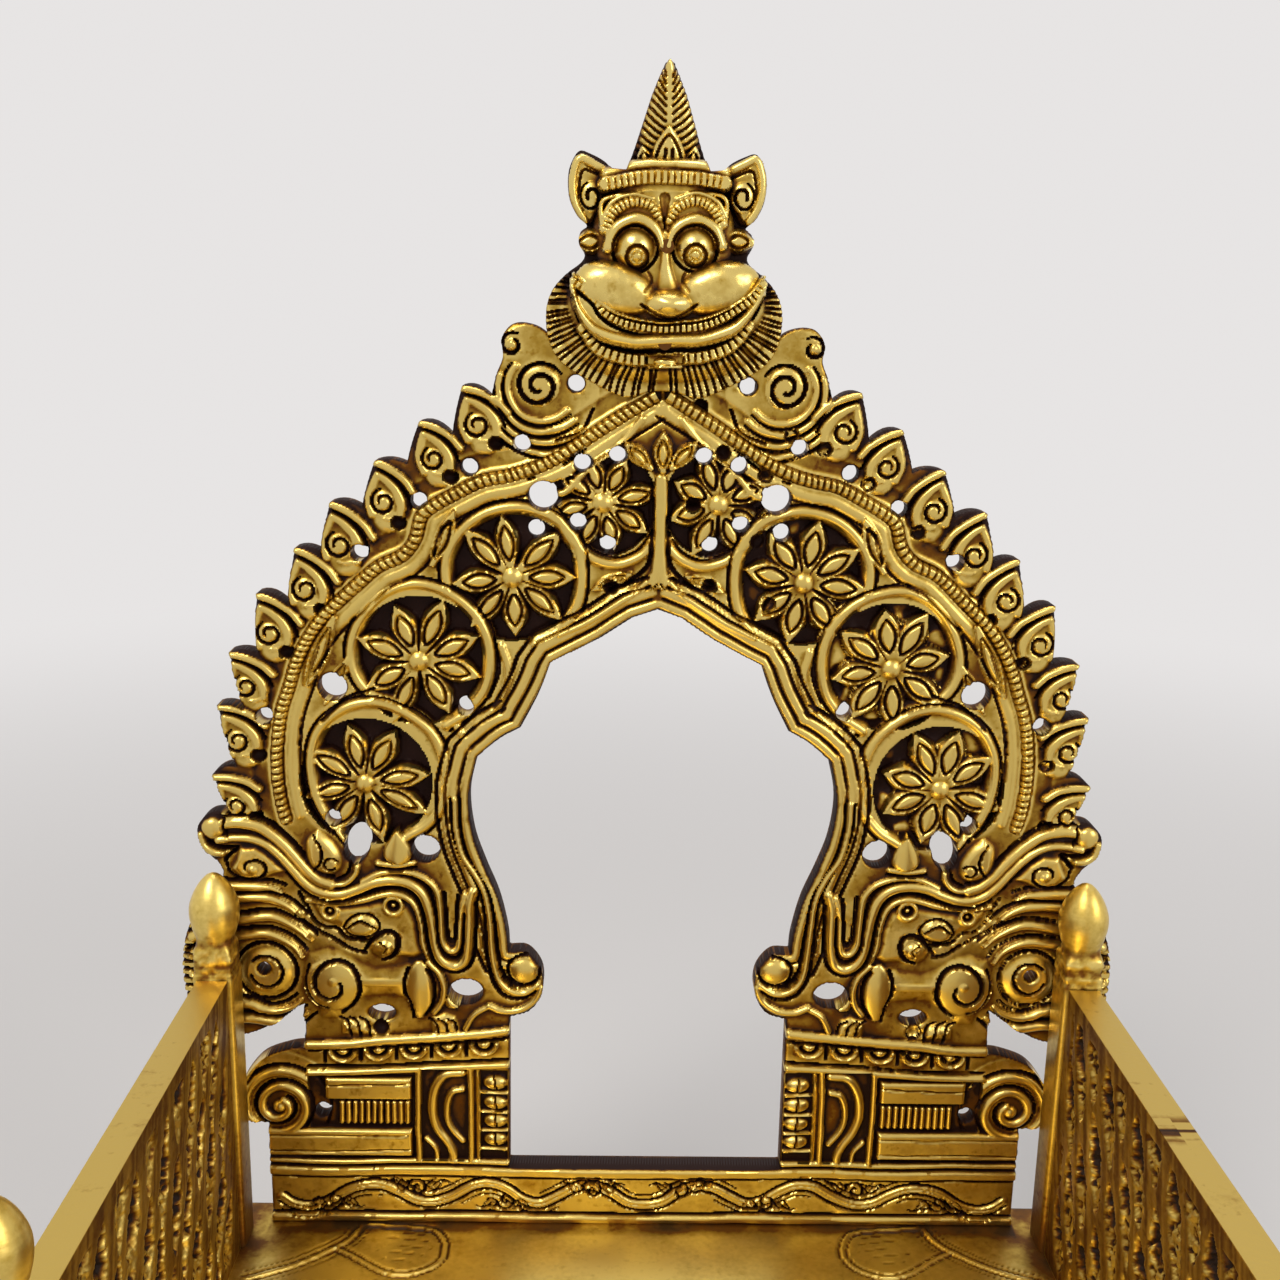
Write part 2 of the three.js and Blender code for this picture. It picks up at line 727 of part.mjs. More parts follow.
function pillarOrnament(side) {
  const parts = courseShares.map((share) => course(share, side, courseRelief));
  const { from, to, inner, outer } = pillarPanelShares;
  const left = side * inner * archHalfWidth;
  const right = side * outer * archHalfWidth;
  const bottom = barHeight + from * pillarHeight();
  const top = barHeight + to * pillarHeight();
  const frame = [[left, bottom], [left, top], [right, top], [right, bottom]];
  const scroll = [[left, bottom], [right, (bottom + top) / 2], [left, top]];
  parts.push(ridge(flatPoints(frame), borderWidth, plateFaceY + bury, reliefY));
  parts.push(ridge(flatPoints(scroll), vineWidth, plateFaceY + bury, plateFaceY - courseRelief));
  const knots = knotPanelShares;
  const knotRadius = ((knots.outer - knots.inner) * archHalfWidth) / 2;
  for (let k = 0; k < knotCount; k += 1) {
    const level = knots.from + ((knots.to - knots.from) * (k + 0.5)) / knotCount;
    const reach = knots.inner * archHalfWidth + knotRadius;
    const centre = new THREE.Vector2(side * reach, barHeight + level * pillarHeight());
    parts.push(cone(centre, knotRadius, plateFaceY + bury, reliefY));
  }
  return parts;
}

function footBar() {
  const half = slabOuterShare * archHalfWidth;
  const body = prism(rectangle(-half, half, 0, barHeight), archBackY, archFaceY - bury);
  const footFaceY = archFaceY - footMouldingProud;
  const foot = prism(rectangle(-half, half, 0, footMouldingHeight), archBackY, footFaceY);
  const lipBottom = barHeight - footMouldingHeight / 2;
  const lip = prism(rectangle(-half, half, lipBottom, barHeight), archBackY, archFaceY - barProud);
  const steps = vineWaves * vineStepsPerWave * 2;
  const middle = (footMouldingHeight + lipBottom) / 2;
  const reach = half - vineWidth;
  const vine = Array.from({ length: steps + 1 }, (_, i) => {
    const along = i / steps;
    const wave = Math.sin(along * vineWaves * 2 * Math.PI * 2) * vineAmplitudeShare * barHeight;
    return new THREE.Vector2(-reach + along * reach * 2, middle + wave);
  });
  return [body, foot, lip, ridge(vine, vineWidth, archFaceY, archFaceY - barProud)];
}

const tangBackY = innerRearY - mitreGap;
const tangFrontY = tangBackY - tangThickness;
const tangScrewDrop = seatThickness + (tangDrop - seatThickness) / 2;

function tangCentre(share) {
  return share * slabOuterShare * archHalfWidth;
}

function tang(share) {
  const centre = tangCentre(share);
  const face = rectangle(centre - tangWidth / 2, centre + tangWidth / 2, -tangDrop, footMouldingHeight);
  const plate = prism(face, tangBackY, tangFrontY);
  const eye = bore(new THREE.Vector2(centre, -tangScrewDrop), screwRadius + slidingClearance / 2);
  return plate.subtract(prism(eye, tangBackY + cutOverrun, tangFrontY - cutOverrun));
}

function archHoles() {
  const holes = [];
  for (const side of sides) {
    smallHoleShares.forEach((share) => holes.push(drilled(archPoint(share, side), drillRadius)));
    largeHoleShares.forEach((share) => {
      holes.push(drilled(archPoint(share, side), largeDrillRadius, largeDrillRadius, shaftFacets));
    });
    holes.push(drilled(archPoint(hoofHoleShare, side), largeDrillRadius, drillRadius));
    holes.push(drilled(archPoint(curlHoleShare, side), largeDrillRadius, curlHoleReach, shaftFacets));
  }
  return holes;
}

function rivetHoles(backY, frontY) {
  const radius = rivetRadius + slidingClearance / 2;
  return rivetShares.map((share) => {
    const centre = new THREE.Vector2(0, share * archHeight);
    return prism(bore(centre, radius), backY, frontY);
  });
}

function makeArch() {
  const relief = [];
  for (const side of sides) {
    for (let i = 0; i < rosetteShares.length; i += 1) {
      relief.push(...rosette(i, side));
    }
    relief.push(...vineHoops(side), ...crestBands(side), ...leafBosses(side), ...shoulderScroll(side));
    relief.push(...makaraAndElephant(side), ...bracketScroll(side));
    relief.push(...neckFinial(side), ...pillarOrnament(side));
    relief.push(ridge(borderLine(side, borderInset), borderWidth, plateFaceY + bury, reliefY));
  }
  const seatOfMask = prism(maskFootprint(slidingClearance), plateFaceY, archFaceY - skullDepth);
  const plate = cutAll(archPlate(), recessPockets());
  const casting = cutAll(fuse([plate, ...relief, ...trefoil()]), [seatOfMask, ...archHoles()]);
  const rivets = rivetHoles(archBackY + cutOverrun, plateFaceY - cutOverrun);
  return cutAll(fuse([casting, ...footBar(), ...tangShares.map(tang)]), rivets);
}

// Guardian mask

// Outline of the mask on the plate, grown outward for the seat that is cut to take it
function maskFootprint(grow = 0) {
  const centre = archPoint([0, skullShare[1]]);
  return mirroredLoop(archPoints([...browLineShares, ...beardShares])).map((point) => {
    const away = point.clone().sub(centre);
    return point.add(away.setLength(grow));
  });
}

function swollen(centre, depthY, radiusX, radiusZ, depth, facets = mediumFacets) {
  const geometry = new THREE.SphereGeometry(1, facets, facets / 2);
  geometry.scale(radiusX, depth, radiusZ).translate(centre.x, depthY, centre.y);
  return solidOf(geometry);
}

// A round rod bent along points in space, used for brows, lips and the crown band
function rod(points, radiusY, radiusZ, steps) {
  const section = new THREE.Shape(ring(new THREE.Vector2(0, 0), radiusY, radiusZ, rodFacets));
  const path = new THREE.CatmullRomCurve3(points);
  const options = { steps, bevelEnabled: false, extrudePath: path };
  return solidOf(new THREE.ExtrudeGeometry(section, options));
}

const maskBackY = plateFaceY;
const maskFaceY = maskBackY - maskBaseThickness;

function onFace([x, z], depth, side = 1) {
  const flat = archPoint([x, z], side);
  return new THREE.Vector3(flat.x, maskFaceY - depth, flat.y);
}

// Depth of the swelling face at a share point, over the flat base of the mask
function faceDepth([x, z]) {
  const across = x / skullShare[0];
  const up = (z - skullShare[1]) / skullShare[2];
  return (skullDepth - maskBaseThickness) * Math.sqrt(Math.max(1 - across * across - up * up, 0));
}

function mirroredRod(shares, radiusY, radiusZ, steps) {
  const right = shares.map((share) => onFace(share, faceDepth(share)));
  const left = shares.slice(0, -1).map((share) => onFace(share, faceDepth(share), -1));
  return rod([...right, ...left.reverse()], radiusY, radiusZ, steps);
}

function spire() {
  const tip = archHeight;
  const base = spireBaseShare * archHeight;
  const half = spireHalfWidthShare * archHalfWidth;
  const barb = half * spireBarbShare;
  const right = [new THREE.Vector2(0, tip)];
  for (let k = 1; k <= spireBarbs; k += 1) {
    const reach = (k / spireBarbs) * half;
    const level = tip - (k / spireBarbs) * (tip - base);
    right.push(new THREE.Vector2(reach + barb, level + barb * 2));
    right.push(new THREE.Vector2(reach - barb / 2, level));
  }
  const crownY = maskBackY - spireThickness;
  const length = tip - base;
  const foot = new THREE.Vector2(0, base);
  const [leafLengthShare, leafWidthShare] = spireLeafShares;
  return [
    prism(mirroredLoop(right), maskBackY, maskFaceY),
    petal(foot, Math.PI / 2, length, half * 2 * spireSpineShare, maskFaceY + bury, crownY),
    petal(foot, Math.PI / 2, length * leafLengthShare, half * 2 * leafWidthShare, maskFaceY, crownY - bury),
  ];
}

function maskEar(side) {
  const crownY = maskBackY - earThickness - earRelief;
  return [
    prism(archPoints(earShares, side), maskBackY, maskBackY - earThickness),
    boss(archPoint(earScrollShare, side), leafBossRadius, maskFaceY, crownY),
    boss(archPoint(earStudShare, side), earStudRadius, maskFaceY, crownY),
  ];
}

function maskEye(side) {
  const centre = archPoint(eyeSocketShare, side);
  const depth = faceDepth(eyeSocketShare);
  const pupil = archPoint(pupilShare, side);
  const ballFront = maskFaceY - depth - eyeRadius * eyeFrontShare;
  return [
    swollen(centre, ballFront + eyeRadius, eyeRadius, eyeRadius, eyeRadius, shaftFacets),
    boss(pupil, pupilRadius, ballFront + eyeRadius / 2, ballFront - pupilDepth),
  ];
}

function beard(side) {
  const curve = new THREE.SplineCurve(archPoints(beardShares, side));
  const centre = archPoint([0, skullShare[1]]);
  const strands = [];
  for (let k = 0; k < beardStrandCount; k += 1) {
    const end = curve.getPoint((k + 0.5) / beardStrandCount);
    const [start, tip] = strandShares.map((share) => end.clone().lerp(centre, share));
    strands.push(ridge([start, tip], beardStrandWidth, maskFaceY + bury, maskBackY - beardRelief));
  }
  return strands;
}

function makeMask() {
  const base = prism(maskFootprint(), maskBackY, maskFaceY);
  const [skullHalfShare, skullMiddleShare, skullReachShare] = skullShare;
  const skullHalfWidth = skullHalfShare * skullWidthShare * archHalfWidth;
  const skullReach = skullReachShare * archHeight;
  const swell = skullDepth - maskBaseThickness;
  const skullCentre = archPoint([0, skullMiddleShare]);
  const skull = swollen(skullCentre, maskFaceY, skullHalfWidth, skullReach, swell, fineFacets);
  const nose = prism(archPoints(noseShares), maskFaceY, maskFaceY - skullDepth * noseReliefShare);
  const chin = prism(archPoints(chinShares), maskFaceY, maskFaceY - skullDepth * chinReliefShare);
  const solids = [base, skull, nose, chin, ...spire()];
  for (const side of sides) {
    const cheek = archPoint(cheekShare, side);
    const cheekY = maskFaceY - faceDepth(cheekShare) + cheekRadius / 2;
    const cheekSize = [cheekRadius, cheekRadius * cheekHeightShare, cheekRadius * cheekDepthShare];
    solids.push(swollen(cheek, cheekY, ...cheekSize));
    solids.push(...maskEye(side), ...maskEar(side), ...beard(side));
    const brow = browShares.map((share) => onFace(share, faceDepth(share), side));
    solids.push(rod(brow, browThickness, browThickness, browSteps));
  }
  solids.push(mirroredRod(lipShares, lipThickness, lipThickness, lipSteps));
  solids.push(mirroredRod(crownShares, crownBandHeight / 2, crownBandThickness, crownSteps));
  const wholeFace = rectangle(-archHalfWidth, archHalfWidth, 0, archHeight + cutOverrun);
  const behind = prism(wholeFace, maskBackY + skullDepth, maskBackY);
  const holes = rivetHoles(maskBackY + cutOverrun, maskBackY - rivetReach - slidingClearance);
  return cutAll(fuse(solids), [behind, ...holes]);
}

function makeRivet(share) {
  const centre = new THREE.Vector2(0, share * archHeight);
  const tipY = maskBackY - rivetReach;
  const headY = archBackY + bearingGap;
  const profile = [
    [0, headY + rivetHeadHeight], [rivetHeadRadius / 2, headY + rivetHeadHeight],
    [rivetHeadRadius, headY],
    [rivetRadius, headY], [rivetRadius, tipY], [0, tipY],
  ];
  return turned(profile, centre, shaftFacets);
}

// Posts with bud finials

const budShares = [
  [0.6, 0], [0.62, 0.06], [0.84, 0.18], [1, 0.42], [0.95, 0.62], [0.74, 0.82], [0.36, 0.96],
];

function makePost() {
  const half = postSide / 2;
  const top = half - postShoulder;
  const neckLevel = postShaftHeight;
  const shoulderLevel = neckLevel - postShoulder;
  const shaft = frustum(half, half, 0, shoulderLevel);
  const cap = frustum(half, top, shoulderLevel, neckLevel);
  const bud = budShares.map(([r, h]) => new THREE.Vector2(r * budRadius, neckLevel + h * budHeight));
  const neck = flatPoints([[0, neckLevel - bury], [bud[0].x, neckLevel - bury]]);
  const profile = [...neck, ...bud, new THREE.Vector2(0, neckLevel + budHeight)];
  const tenon = roundBar(tenonRadius, -seatThickness - tenonReach, bury, shaftFacets);
  const pegHoles = pegHeightShares.map((share) => pegHole(share * panelHeight));
  const turnedBud = solidOf(upright(new THREE.LatheGeometry(profile, turnedFacets)));
  return cutAll(fuse([shaft, cap, turnedBud, tenon]), pegHoles);
}

function upright(latheGeometry) {
  return latheGeometry.applyMatrix4(facing);
}

// A four-sided block whose half side changes from foot to top
function frustum(footHalf, topHalf, footZ, topZ) {
  const turn = Math.SQRT2;
  const geometry = new THREE.CylinderGeometry(topHalf * turn, footHalf * turn, topZ - footZ, 4, 1);
  geometry.rotateY(Math.PI / 4).applyMatrix4(facing).translate(0, 0, (footZ + topZ) / 2);
  return solidOf(geometry);
}

function roundBar(radius, footZ, topZ, facets) {
  const geometry = new THREE.CylinderGeometry(radius, radius, topZ - footZ, facets, 1);
  geometry.applyMatrix4(facing).translate(0, 0, (footZ + topZ) / 2);
  return solidOf(geometry);
}

// A blind hole in the face that meets the panel, which is the -Y face of a rear post
function pegHole(level) {
  const radius = pegRadius + slidingClearance / 2;
  const bottomY = -postSide / 2 + pegReach + slidingClearance;
  return prism(bore(new THREE.Vector2(0, level), radius), bottomY, -postSide / 2 - cutOverrun);
}

// Side panels, drawn in X and Z with their length along X

function slotOutline(centreX, topZ, bottomZ) {
  const middle = (topZ + bottomZ) / 2;
  const half = slotWidth / 2;
  const lean = (level) => (slotLean * (panelHeight / 2 - level)) / panelHeight;
  const at = (level, reach) => new THREE.Vector2(centreX + lean(level) + reach, level);
  return [at(bottomZ, 0), at(middle, half), at(topZ, 0), at(middle, -half)];
}

function makePanel() {
  const half = (postDepthSpacing - postSide) / 2 - slidingClearance;
  const faceY = panelThickness / 2;
  const body = prism(rectangle(-half, half, 0, panelHeight), faceY, -faceY);
  const windowBottom = panelRailHeight;
  const windowTop = panelHeight - panelRailHeight;
  const inside = rectangle(-half + panelStile, half - panelStile, windowBottom, windowTop);
  const count = Math.floor((half * 2 + slotLean) / slotPitch / 2);
  const cutters = [];
  for (const face of sides) {
    const back = face * (faceY - slotDepth);
    const front = face * (faceY + cutOverrun);
    const slots = [];
    for (let k = -count; k <= count; k += 1) {
      const centre = k * slotPitch;
      const split = panelHeight * (k % 2 === 0 ? slotSplitShares[0] : slotSplitShares[1]);
      const ends = [[windowBottom, split - slotWidth / 4], [split + slotWidth / 4, windowTop]];
      ends.forEach(([bottom, top]) => {
        slots.push(prism(slotOutline(centre, top, bottom), Math.max(back, front), Math.min(back, front)));
      });
    }
    const opening = prism(inside, Math.max(back, front) + cutOverrun, Math.min(back, front) - cutOverrun);
    cutters.push(fuse(slots).intersect(opening));
  }
  const pegs = pegHeightShares.flatMap((share) => sides.map((end) => {
    const length = pegReach + bury;
    const peg = new THREE.CylinderGeometry(pegRadius, pegRadius, length, shaftFacets, 1);
    const middle = half + pegReach + slidingClearance - length / 2;
    peg.rotateZ(Math.PI / 2).translate(end * middle, 0, share * panelHeight);
    return solidOf(peg);
  }));
  return fuse([cutAll(body, cutters), ...pegs]);
}

// Seat plate, drawn in X and Y

const cornerSigns = [[1, 1], [-1, 1], [-1, -1], [1, -1]];

function plate(points, bottom, top, holes = []) {
  const shape = shapeOf(points, holes);
  const geometry = new THREE.ExtrudeGeometry(shape, { depth: top - bottom, bevelEnabled: false, steps: 1 });
  return solidOf(geometry.translate(0, 0, bottom));
}

function postCentre([signX, signY]) {
  return new THREE.Vector2((signX * postSpacing) / 2, signY > 0 ? rearPostY : frontPostY);
}

function ellipse(centre, radiusX, radiusY) {
  return ring(centre, radiusX, radiusY, shaftFacets);
}

// The leaf loop and the rope line cut into the seat beside each post
function cornerEngraving(signs) {
  const post = postCentre(signs);
  const centre = new THREE.Vector2(post.x - signs[0] * loopInset, post.y - signs[1] * loopForward);
  const floor = -engravingDepth;
  const outer = ellipse(centre, loopLength / 2, loopWidth / 2);
  const inner = ellipse(centre, loopLength / 2 - engravingWidth, loopWidth / 2 - engravingWidth);
  const near = new THREE.Vector2(signs[0] * loopLength, signs[1] * loopWidth).divideScalar(2).add(centre);
  const run = new THREE.Vector2(signs[0], -signs[1] * ropeLineSlope).multiplyScalar(ropeLineLength);
  const far = near.clone().add(run);
  const across = new THREE.Vector2(-run.y, run.x).setLength(engravingWidth);
  const line = [[near, 1], [near, -1], [far, -1], [far, 1]].map(([end, way]) => {
    return end.clone().addScaledVector(across, way);
  });
  return [plate(outer, floor, cutOverrun, [inner]), plate(line, floor, cutOverrun)];
}

function makeSeat() {
  const inset = seatEdgeChamfer;
  const half = seatHalfWidth;
  const outline = [[-half, seatFrontY], [half, seatFrontY], [half, seatRearY], [-half, seatRearY]];
  const options = {
    depth: seatThickness - inset * 2, bevelEnabled: true, bevelSegments: 1,
    bevelThickness: inset, bevelSize: inset, bevelOffset: -inset, steps: 1,
  };
  const shape = new THREE.Shape(outline.map(([x, y]) => new THREE.Vector2(x, y)));
  const body = solidOf(new THREE.ExtrudeGeometry(shape, options).translate(0, 0, inset - seatThickness));
  const cutters = [];
  cornerSigns.forEach((signs) => {
    const hole = bore(postCentre(signs), tenonRadius + slidingClearance);
    cutters.push(plate(hole, -seatThickness - cutOverrun, cutOverrun), ...cornerEngraving(signs));
  });
  tangShares.forEach((share) => {
    const left = tangCentre(share) - tangWidth / 2 - slidingClearance;
    const right = tangCentre(share) + tangWidth / 2 + slidingClearance;
    const slot = rectangle(left, right, tangFrontY - slidingClearance, tangBackY + slidingClearance);
    cutters.push(plate(slot, -seatThickness - cutOverrun, cutOverrun));
  });
  return cutAll(body, cutters);
}

// Plinth

// Section of an apron: how far it stands out from the inner face, and its height
function apronSection() {
  const bottom = footHeight;
  const top = plinthTop;
  const torusTop = bottom + baseHeight + torusRadius * 2;
  const corniceFoot = top - corniceHeight;
  const section = [[0, bottom], [baseProjection, bottom], [baseProjection, bottom + baseHeight]];
  const torusAxis = baseProjection - torusRadius;
  for (let i = 0; i <= torusSteps; i += 1) {
    const angle = (i / torusSteps - 0.5) * Math.PI;
    const out = torusAxis - bury + Math.cos(angle) * torusRadius;
    section.push([out, torusTop - torusRadius + Math.sin(angle) * torusRadius]);
  }
  const coveReach = torusAxis - bury - apronWall;
  for (let i = 1; i <= torusSteps; i += 1) {
    const angle = ((i / torusSteps) * Math.PI) / 2;
    const rise = coveReach * (1 - Math.cos(angle));
    section.push([apronWall + coveReach * (1 - Math.sin(angle)), torusTop + rise]);
  }
  const cavetto = corniceProjection - apronWall;
  for (let i = 0; i <= torusSteps; i += 1) {
    const angle = ((i / torusSteps) * Math.PI) / 2;
    const rise = cavetto * Math.sin(angle);
    section.push([apronWall + cavetto * (1 - Math.cos(angle)), corniceFoot - cavetto + rise]);
  }
  section.push([corniceProjection, top], [0, top]);
  return section;
}

// An apron with mitred ends, along X and facing -Y, with its inner face in the plane Y = 0
function mitredRun(innerHalf, section) {
  const positions = [];
  for (const end of sides) {
    section.forEach(([out, z]) => positions.push(end * (innerHalf + out - mitreGap), -out, z));
  }
  const count = section.length;
  const caps = THREE.ShapeUtils.triangulateShape(section.map(([out, z]) => new THREE.Vector2(out, z)), []);
  const index = [];
  caps.forEach(([a, b, c]) => index.push(a, b, c, a + count, c + count, b + count));
  for (let i = 0; i < count; i += 1) {
    const j = (i + 1) % count;
    index.push(i, i + count, j, j, i + count, j + count);
  }
  const geometry = new THREE.BufferGeometry();
  geometry.setAttribute('position', new THREE.Float32BufferAttribute(positions, 3));
  geometry.setIndex(index);
  return solidOf(geometry);
}

// A blind screw hole in the inner face of an apron
function apronHole(x, z) {
  const radius = screwRadius + slidingClearance / 2;
  return prism(bore(new THREE.Vector2(x, z), radius), cutOverrun, -screwGrip - slidingClearance);
}

function makeApron(innerHalf, holePlaces) {
  const holes = holePlaces.map(([x, z]) => apronHole(x, z));
  return cutAll(mitredRun(innerHalf, apronSection()), holes);
}

const endScrewLevel = footHeight + screwLevelShares[0] * plinthHeight;
const sideScrewLevel = footHeight + screwLevelShares[1] * plinthHeight;
const tangScrewLevel = seatTop - tangScrewDrop;

// Corner block, drawn for the right rear corner with the corner of the inner faces at X = Y = 0
function makeBlock(postX, postY) {
  const body = plate(rectangle(-blockSide, 0, -blockSide, 0), footHeight, plinthTop);
  const middle = -blockSide / 2;
  const tenonHole = bore(new THREE.Vector2(postX, postY), tenonRadius + slidingClearance / 2);
  const studHole = bore(new THREE.Vector2(middle, middle), studRadius + slidingClearance / 2);
  const radius = screwRadius + slidingClearance / 2;
  const endBore = bore(new THREE.Vector2(middle, endScrewLevel), radius);
  const endHole = prism(endBore, cutOverrun, -blockSide - cutOverrun);
  const reach = radius / Math.cos(Math.PI / shaftFacets);
  const through = new THREE.CylinderGeometry(reach, reach, blockSide + cutOverrun * 2, shaftFacets, 1);
  through.rotateZ(Math.PI / 2).translate(middle, middle, sideScrewLevel);
  return cutAll(body, [
    plate(tenonHole, plinthTop - tenonReach - slidingClearance, plinthTop + cutOverrun),
    plate(studHole, footHeight - cutOverrun, footHeight + studReach + slidingClearance),
    endHole,
    solidOf(through),
  ]);
}

// A round-headed screw on the axis Y, its head bearing on the plane Y = 0 and its shank along +Y
function makeScrew(shankLength) {
  const seat = -bearingGap;
  const profile = [
    [0, shankLength], [screwRadius, shankLength], [screwRadius, seat], [screwHeadRadius, seat],
    [screwHeadRadius * screwCrownShare, seat - screwHeadHeight], [0, seat - screwHeadHeight],
  ];
  return turned(profile, new THREE.Vector2(0, 0), shaftFacets);
}

const footShares = [[0.66, 0], [0.92, 0.14], [1, 0.36], [0.9, 0.58], [0.6, 0.76], [0.86, 0.9], [0.86, 1]];

function makeFoot() {
  const profile = [new THREE.Vector2(0, 0)];
  footShares.forEach(([r, h]) => {
    profile.push(new THREE.Vector2(Math.max(r * footRadius, footNeckRadius), h * footHeight));
  });
  const studTop = footHeight + studReach;
  profile.push(new THREE.Vector2(studRadius, footHeight));
  profile.push(new THREE.Vector2(studRadius, studTop));
  profile.push(new THREE.Vector2(0, studTop));
  return solidOf(upright(new THREE.LatheGeometry(profile, turnedFacets)));
}

// The throne, piece by piece

const throne = new THREE.Group();

function addPiece(name, geometry, material, [x, y, z] = [0, 0, 0], turn = 0) {
  const mesh = new THREE.Mesh(geometry, material.clone());
  mesh.name = name;
  mesh.position.set(x, y, z);
  mesh.rotation.z = turn;
  throne.add(mesh);
}

function cornerName([signX, signY]) {
  return `${signY > 0 ? 'rear' : 'front'}_${signX > 0 ? 'right' : 'left'}`;
}

addPiece('seat_plate', geometryOf(makeSeat()), polishedBrass, [0, 0, seatTop]);
addPiece('back_arch', geometryOf(makeArch()), agedBrass, [0, 0, seatTop]);
addPiece('guardian_mask', geometryOf(makeMask()), agedBrass, [0, 0, seatTop]);
['lower', 'upper'].forEach((level, i) => {
  addPiece(`mask_rivet_${level}`, geometryOf(makeRivet(rivetShares[i])), screwBrass, [0, 0, seatTop]);
});

const post = geometryOf(makePost());
cornerSigns.forEach((signs) => {
  const centre = postCentre(signs);
  const turn = signs[1] > 0 ? 0 : Math.PI;
  addPiece(`corner_post_${cornerName(signs)}`, post, polishedBrass, [centre.x, centre.y, seatTop], turn);
});

const panel = geometryOf(makePanel());
const panelMiddleY = (rearPostY + frontPostY) / 2;
addPiece('side_panel_left', panel, satinBrass, [-postSpacing / 2, panelMiddleY, seatTop], Math.PI / 2);
addPiece('side_panel_right', panel, satinBrass, [postSpacing / 2, panelMiddleY, seatTop], -Math.PI / 2);

const sideHalf = (innerRearY - innerFrontY) / 2;
const innerMiddleY = (innerRearY + innerFrontY) / 2;
const blockMiddle = blockSide / 2;
const endHoles = sides.map((end) => [end * (innerHalfWidth - blockMiddle), endScrewLevel]);
const sideHoles = sides.map((end) => [end * (sideHalf - blockMiddle), sideScrewLevel]);
const tangHoles = tangShares.map((share) => [tangCentre(share), tangScrewLevel]);
const frontApron = geometryOf(makeApron(innerHalfWidth, endHoles));
const rearApron = geometryOf(makeApron(innerHalfWidth, [...endHoles, ...tangHoles]));
addPiece('front_apron', frontApron, agedBrass, [0, innerFrontY, 0]);
addPiece('rear_apron', rearApron, agedBrass, [0, innerRearY, 0], Math.PI);
const sideApron = geometryOf(makeApron(sideHalf, sideHoles));
addPiece('left_apron', sideApron, agedBrass, [-innerHalfWidth, innerMiddleY, 0], -Math.PI / 2);
addPiece('right_apron', sideApron, agedBrass, [innerHalfWidth, innerMiddleY, 0], Math.PI / 2);

const blockScrew = geometryOf(makeScrew(blockSide + screwGrip));
const foot = geometryOf(makeFoot());
cornerSigns.forEach((signs) => {
  const [signX, signY] = signs;
  const cornerX = signX * innerHalfWidth;
  const cornerY = signY > 0 ? innerRearY : innerFrontY;
  const centre = postCentre(signs);
  const block = makeBlock(-Math.abs(cornerX - centre.x), -Math.abs(cornerY - centre.y));
  const geometry = geometryOf(block.scale([signX, signY, 1]));
  const name = cornerName(signs);
  addPiece(`corner_block_${name}`, geometry, agedBrass, [cornerX, cornerY, 0]);
  const footPlace = [cornerX - signX * blockMiddle, cornerY - signY * blockMiddle, 0];
  addPiece(`foot_${name}`, foot, agedBrass, footPlace);
  const endPlace = [cornerX - signX * blockMiddle, cornerY - signY * blockSide, endScrewLevel];
  addPiece(`end_screw_${name}`, blockScrew, screwBrass, endPlace, signY > 0 ? 0 : Math.PI);
  const sidePlace = [cornerX - signX * blockSide, cornerY - signY * blockMiddle, sideScrewLevel];
  addPiece(`side_screw_${name}`, blockScrew, screwBrass, sidePlace, (-signX * Math.PI) / 2);
});

const archScrew = geometryOf(makeScrew(tangThickness + mitreGap + screwGrip));
['left', 'middle', 'right'].forEach((name, i) => {
  const place = [tangCentre(tangShares[i]), tangFrontY, tangScrewLevel];
  addPiece(`arch_screw_${name}`, archScrew, screwBrass, place);
});

// The origin goes to the middle of the footprint
throne.updateMatrixWorld(true);
const bounds = new THREE.Box3().setFromObject(throne);
const middle = bounds.getCenter(new THREE.Vector3());
throne.position.set(-middle.x, -middle.y, -bounds.min.z);

export default throne;
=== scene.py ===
"""Brass throne for a small household deity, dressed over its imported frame.

The cast pieces are height fields: ornament is drawn as strokes, leaves, domes and spirals over a
grid in millimetres, cut to the piece's outline and turned into a closed mesh in metres.
"""
import math

import bpy
import numpy as np
from mathutils import Matrix, Vector


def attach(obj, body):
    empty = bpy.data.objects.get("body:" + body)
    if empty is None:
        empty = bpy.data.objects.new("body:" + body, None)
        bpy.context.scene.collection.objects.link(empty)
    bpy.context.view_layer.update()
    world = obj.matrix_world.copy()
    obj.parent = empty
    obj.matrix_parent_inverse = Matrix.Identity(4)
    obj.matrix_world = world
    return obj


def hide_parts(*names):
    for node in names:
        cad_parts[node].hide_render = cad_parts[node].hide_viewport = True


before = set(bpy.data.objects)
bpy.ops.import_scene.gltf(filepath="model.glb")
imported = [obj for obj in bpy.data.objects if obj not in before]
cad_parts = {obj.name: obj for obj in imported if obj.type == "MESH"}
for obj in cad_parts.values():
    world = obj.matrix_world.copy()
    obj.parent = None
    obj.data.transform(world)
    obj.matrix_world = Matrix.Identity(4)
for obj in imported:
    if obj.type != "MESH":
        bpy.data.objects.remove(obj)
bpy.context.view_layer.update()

# Sizes in millimetres, as in the CAD source; the arch's plate runs from PLATE_FACE back to ARCH_BACK
MM = 0.001
ARCH_HALF = 92.0
ARCH_HEIGHT = 226.0
SEAT_TOP = 67.0
PLATE_FACE = 56.6
ARCH_BACK = 59.8
BAR_HEIGHT = 12.6
# A distance well inside an outline, and a height under everything
FAR_INSIDE = -9.0
NOTHING = -99.0
# How much a narrow and a broad hollow add to the patina
FINE_HOLLOW = 1.3
BROAD_HOLLOW = 0.75
# Share of a full quarter round that the front edges are worn to
EDGE_WEAR = 0.8
